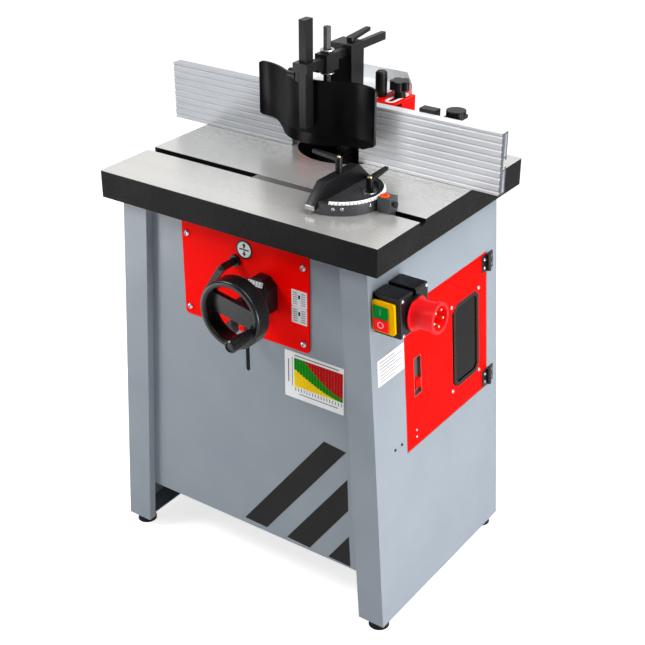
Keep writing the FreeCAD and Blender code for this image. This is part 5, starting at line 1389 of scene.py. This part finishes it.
@dataclass
class MitreGauge(SubAssembly):
    """Mitre gauge with its scale and pointer.

    Attributes:
        middle: Pivot of the head.
        stud: Axis of the head's lever.
        rim_z: Top of the head's rim.
        rim_radius: Outer radius of the rim.
        bevel: Width of the bevel that carries the scale.
        scale: First and last angle of the scale in degrees.
        strokes: First and last stroke and the step between strokes, in degrees.
        fence_stud: Axis of the fence's lever.
        hub_tops: Height of the two levers' hubs, the head's first.
        washer_z: Height of the washer under the head's lever.
        wall_screws: Angle in degrees and height of the screws in the head's wall.
        block_y: Middle of the pointer block along the depth.
        thumb_z: Height of the block's thumb screw.
        sunk: How far the fittings of the block stand in it.
    """

    middle: Pair = (143.6, -238.0)
    stud: Pair = (193.6, -220.0)
    rim_z: float = 874.3
    rim_radius: float = 82.5
    bevel: float = 3.0
    scale: Pair = (-72.0, 80.0)
    strokes: tuple[int, int, int] = (-70, 75, 5)
    fence_stud: Pair = (138.2, -238.0)
    hub_tops: Pair = (896.6, 929.6)
    washer_z: float = 867.7
    wall_screws: tuple[Pair, ...] = ((-66.0, 863.0), (-55.0, 864.0), (-17.0, 865.0))
    block_y: float = -242.0
    thumb_z: float = 868.0
    sunk: float = 0.2

    def finishes(self) -> dict[str, Finish]:
        """Black casting and levers on a drawn bar, grey pointer block.

        Returns:
            The finish of each solid.
        """
        block = Finish("grey_pointer_block", (84, 86, 88), (72, 74, 76), "machined_steel", (0.4, 0.55),
                       Relief.CAST, 0.3, wear=0.4, worn=(140, 142, 145))
        head = Finish("black_gauge_casting", (24, 24, 26), (16, 16, 18), "black_paint", (0.3, 0.42),
                      Relief.POWDER, wear=0.5, worn=(110, 110, 112))
        wall = TwoTone("gauge_casting_wall", (104, 104, 106), (86, 86, 89), "black_paint", (0.22, 0.34),
                       Relief.POWDER, 0.7, beyond=head, level=(self.rim_z - self.bevel) * MM)
        end = spindle_axis()[1] + (solid_box("mitre_fence")[0][1] + 1.2) * MM
        sawn = TwoTone("sawn_fence_end", (176, 172, 170), (156, 152, 150), "black_paint", (0.3, 0.42),
                       Relief.DRAWN_X, 0.6, beyond=head, axis=Axis.Y, level=end)
        return {"mitre_bar": DRAWN_BAR, "pointer_block": block, "mitre_head": wall, "mitre_fence": sawn,
                "mitre_head_lever": BLACK_PLASTIC, "mitre_fence_lever": BLACK_PLASTIC}

    def on_wall(self, part: Surface, angle: float, z: float) -> Surface:
        """Sets a surface on the round wall of the head, at an angle in degrees."""
        out = np.array([math.cos(math.radians(angle)), math.sin(math.radians(angle)), 0.0])
        return part.placed(np.array([*self.middle, z]) + out * self.rim_radius, out, Z_AXIS)

    def scale_strip(self, first: float, last: float, low: float, high: float, lift: float) -> Surface:
        """A strip on the bevel: rows run down the cone from share low to share high, columns round the angle.

        Args:
            first: First angle in degrees.
            last: Last angle in degrees.
            low: Share of the bevel's width at the strip's upper edge.
            high: Share at its lower edge.
            lift: How far it stands off the cone.

        Returns:
            The strip as a thin closed skin.
        """
        angle = np.radians(np.linspace(first, last, max(2, int((last - first) / 2) + 1)))
        shares = np.array([low, high, high, low])[:, None] * self.bevel
        lifts = np.array([0.0, 0.0, lift, lift])[:, None] * math.sqrt(0.5)
        section = np.array([self.rim_radius - self.bevel, self.rim_z]) + shares * [1.0, -1.0] + lifts
        around = np.stack([np.cos(angle), np.sin(angle)], axis=-1)
        flat = np.array(self.middle) + section[None, :, :1] * around[:, None, :]
        height = np.broadcast_to(section[None, :, 1:], (len(angle), 4, 1))
        return skin(np.concatenate([flat, height], axis=-1))

    def build(self) -> None:
        """Adds the scale, its strokes, the pointer ring, the washer and the screws."""
        put("scale_band", [self.scale_strip(*self.scale, -0.5, 1.0, 0.3)], WHITE_PRINT, "mitre_head")
        first, last, step = self.strokes
        strokes = [self.scale_strip(degree - 0.45, degree + 0.45, 0.3 if degree % 15 else -0.2, 0.95, 0.5)
                   for degree in range(first, last + 1, step)]
        put("scale_strokes", strokes, BLACK_PRINT, "mitre_head")
        low, high = solid_box("pointer_block")
        ring = turned(POINTER_RING, 28, Ends.JOINED).lying(low[0] + 10.0, self.block_y, high[2] - self.sunk)
        put("pointer_ring", [ring], ORANGE_PLASTIC, "mitre_bar")
        washer = turned(LEVER_WASHER, 32, Ends.JOINED).lying(*self.stud, self.washer_z)
        put("lever_washer", [washer], STEEL, "mitre_head_lever")
        head, fence = self.hub_tops
        put("head_lever_screw", [screw(4.6).lying(*self.stud, head)], BRASS, "mitre_head_lever")
        put("fence_lever_screw", [screw(4.0).lying(*self.fence_stud, fence)], BRASS, "mitre_fence_lever")
        screws = [self.on_wall(screw(3.2), *place) for place in self.wall_screws]
        put("gauge_screws", screws, STEEL, "mitre_head")
        end = (high[0] - self.sunk, self.block_y, self.thumb_z)
        put("block_screw", [turned(THUMB_SCREW, 20).placed(end, X_AXIS, Z_AXIS)], DARK_STEEL, "mitre_bar")


@dataclass
class Table(SubAssembly):
    """Cast table, ground on top and black round its sides."""

    def finishes(self) -> dict[str, Finish]:
        """Ground iron above the edge, black casting below."""
        return {"table": TABLE_IRON}


@dataclass(frozen=True)
class Lamp:
    """A square soft lamp.

    Attributes:
        name: Name of the lamp.
        place: Where it hangs, in metres.
        size: Side of the square in metres.
        power: Power in watts.
    """

    name: str
    place: Triple
    size: float
    power: float

    def build(self, aim: Triple) -> None:
        """Hangs the lamp so that it faces a point.

        Args:
            aim: The point, in metres.
        """
        light = bpy.data.lights.new(self.name, "AREA")
        light.size, light.energy = self.size, self.power
        turn = (Vector(aim) - Vector(self.place)).to_track_quat("-Z", "Y").to_matrix().to_4x4()
        in_scene(self.name, light).matrix_world = Matrix.Translation(self.place) @ turn


@dataclass
class Studio:
    """Floor, backdrop light, lamps and camera.

    Attributes:
        eye: Where the camera stands, in millimetres from the spindle's axis and the floor.
        azimuth: Direction of the camera round the machine in degrees.
        elevation: Height of the camera over the horizon in degrees.
        lens: Focal length in millimetres on a 36 mm sensor.
        fill: Strength of the surround as a light.
        backdrop: Strength of the surround behind the machine where a surface mirrors it.
        floor_half: Half of the floor's side in metres.
        floor_glow: Strength that the floor adds where it is seen, and where it is mirrored.
        aim: Point that the lamps face, in metres.
        lamps: The lamps.
    """

    eye: Triple = (1365.9, -2044.6, 1753.9)
    azimuth: float = 34.98
    elevation: float = 28.02
    lens: float = 71.65
    fill: float = 0.3
    backdrop: float = 0.95
    floor_half: float = 9.0
    floor_glow: Pair = (0.72, 0.2)
    aim: Triple = (0.0, 0.0, 0.75)
    lamps: tuple[Lamp, ...] = (Lamp("key_lamp", (-1.6, -1.5, 2.5), 0.9, 46.0),
                               Lamp("low_lamp", (-1.25, -1.2, 0.15), 0.6, 9.0),
                               Lamp("side_lamp", (2.6, 0.0, 0.35), 1.2, 73.0),
                               Lamp("top_lamp", (1.3, 0.2, 2.7), 1.6, 50.0))

    def seen_directly(self, bench: Bench) -> Socket:
        """A mask that is 1 for what the camera sees, also through a pane."""
        path = bench.add("LightPath")
        return bench.math("MAXIMUM", path["Is Camera Ray"], path["Is Transmission Ray"])

    def floor(self) -> None:
        """A pale floor that shows white where the light is full and keeps the shadow."""
        mesh = bpy.data.meshes.new("floor")
        corners = self.floor_half * np.array([(-1, -1, 0), (1, -1, 0), (1, 1, 0), (-1, 1, 0)])
        mesh.from_pydata(corners.tolist(), [], [[0, 1, 2, 3]])
        plane = in_scene("floor", mesh)
        made = bpy.data.materials.new("pale_floor")
        made.use_nodes = True
        bench = Bench(made.node_tree)
        matt = bench.add("BsdfDiffuse", Color=(0.82, 0.82, 0.82, 1.0))
        seen, mirrored = self.floor_glow
        mirror = bench.math("MULTIPLY", bench.add("LightPath")["Is Glossy Ray"], mirrored)
        shown = self.seen_directly(bench)
        glow = bench.add("Math", {"operation": "MULTIPLY_ADD"}, _0=shown, _1=seen, _2=mirror)
        lift = bench.add("Emission", Strength=glow[0])
        bench.add("OutputMaterial", Surface=bench.add("AddShader", _0=matt[0], _1=lift[0])[0])
        mesh.materials.append(made)

    def world(self) -> None:
        """A surround that is seen white, mirrors bright behind and dim in front, and lights less."""
        made = bpy.data.worlds.new("studio")
        made.use_nodes = True
        bpy.context.scene.world = made
        bench = Bench(made.node_tree)
        way = bench.add("SeparateXYZ", Vector=bench.add("TexCoord")["Generated"])
        mirrored = bench.spread(way["Y"], -0.2, 0.6, self.fill, self.backdrop)
        lit = bench.mix(bench.add("LightPath")["Is Glossy Ray"], self.fill, mirrored)
        shown = bench.mix(self.seen_directly(bench), lit, 1.0)
        back = bench.add("Background", Color=(1.0, 1.0, 1.0, 1.0), Strength=shown)
        bench.add("OutputWorld", Surface=back[0])

    def camera(self) -> None:
        """The camera: its back vector is (sin a cos e, -cos a cos e, sin e)."""
        a, e = math.radians(self.azimuth), math.radians(self.elevation)
        back = Vector((math.sin(a) * math.cos(e), -math.cos(a) * math.cos(e), math.sin(e)))
        right = Vector((0.0, 0.0, 1.0)).cross(back).normalized()
        turn = Matrix((right, back.cross(right), back)).transposed().to_4x4()
        lens = bpy.data.cameras.new("camera")
        lens.lens, lens.sensor_width, lens.clip_end = self.lens, 36.0, 60.0
        holder = in_scene("camera", lens)
        holder.matrix_world = Matrix.Translation((spindle_axis() + np.array(self.eye) * MM).tolist()) @ turn
        bpy.context.scene.camera = holder

    def build(self) -> None:
        """Sets the stage."""
        self.floor()
        self.world()
        for lamp in self.lamps:
            lamp.build(self.aim)
        self.camera()
        bpy.context.scene.view_settings.view_transform = "Standard"


def main() -> None:
    """Builds the sub-assemblies, then the studio."""
    logging.basicConfig(level=logging.INFO, format="%(name)s: %(message)s")
    cabinet = Cabinet()
    groups: list[SubAssembly] = [cabinet, ControlFront(), Works(), Door(cabinet), SwitchBox(cabinet),
                                 Table(), Fence(), Guard(), MitreGauge()]
    for group in groups:
        group.dress()
        group.build()
    Studio().build()


if __name__ == "__main__":
    main()
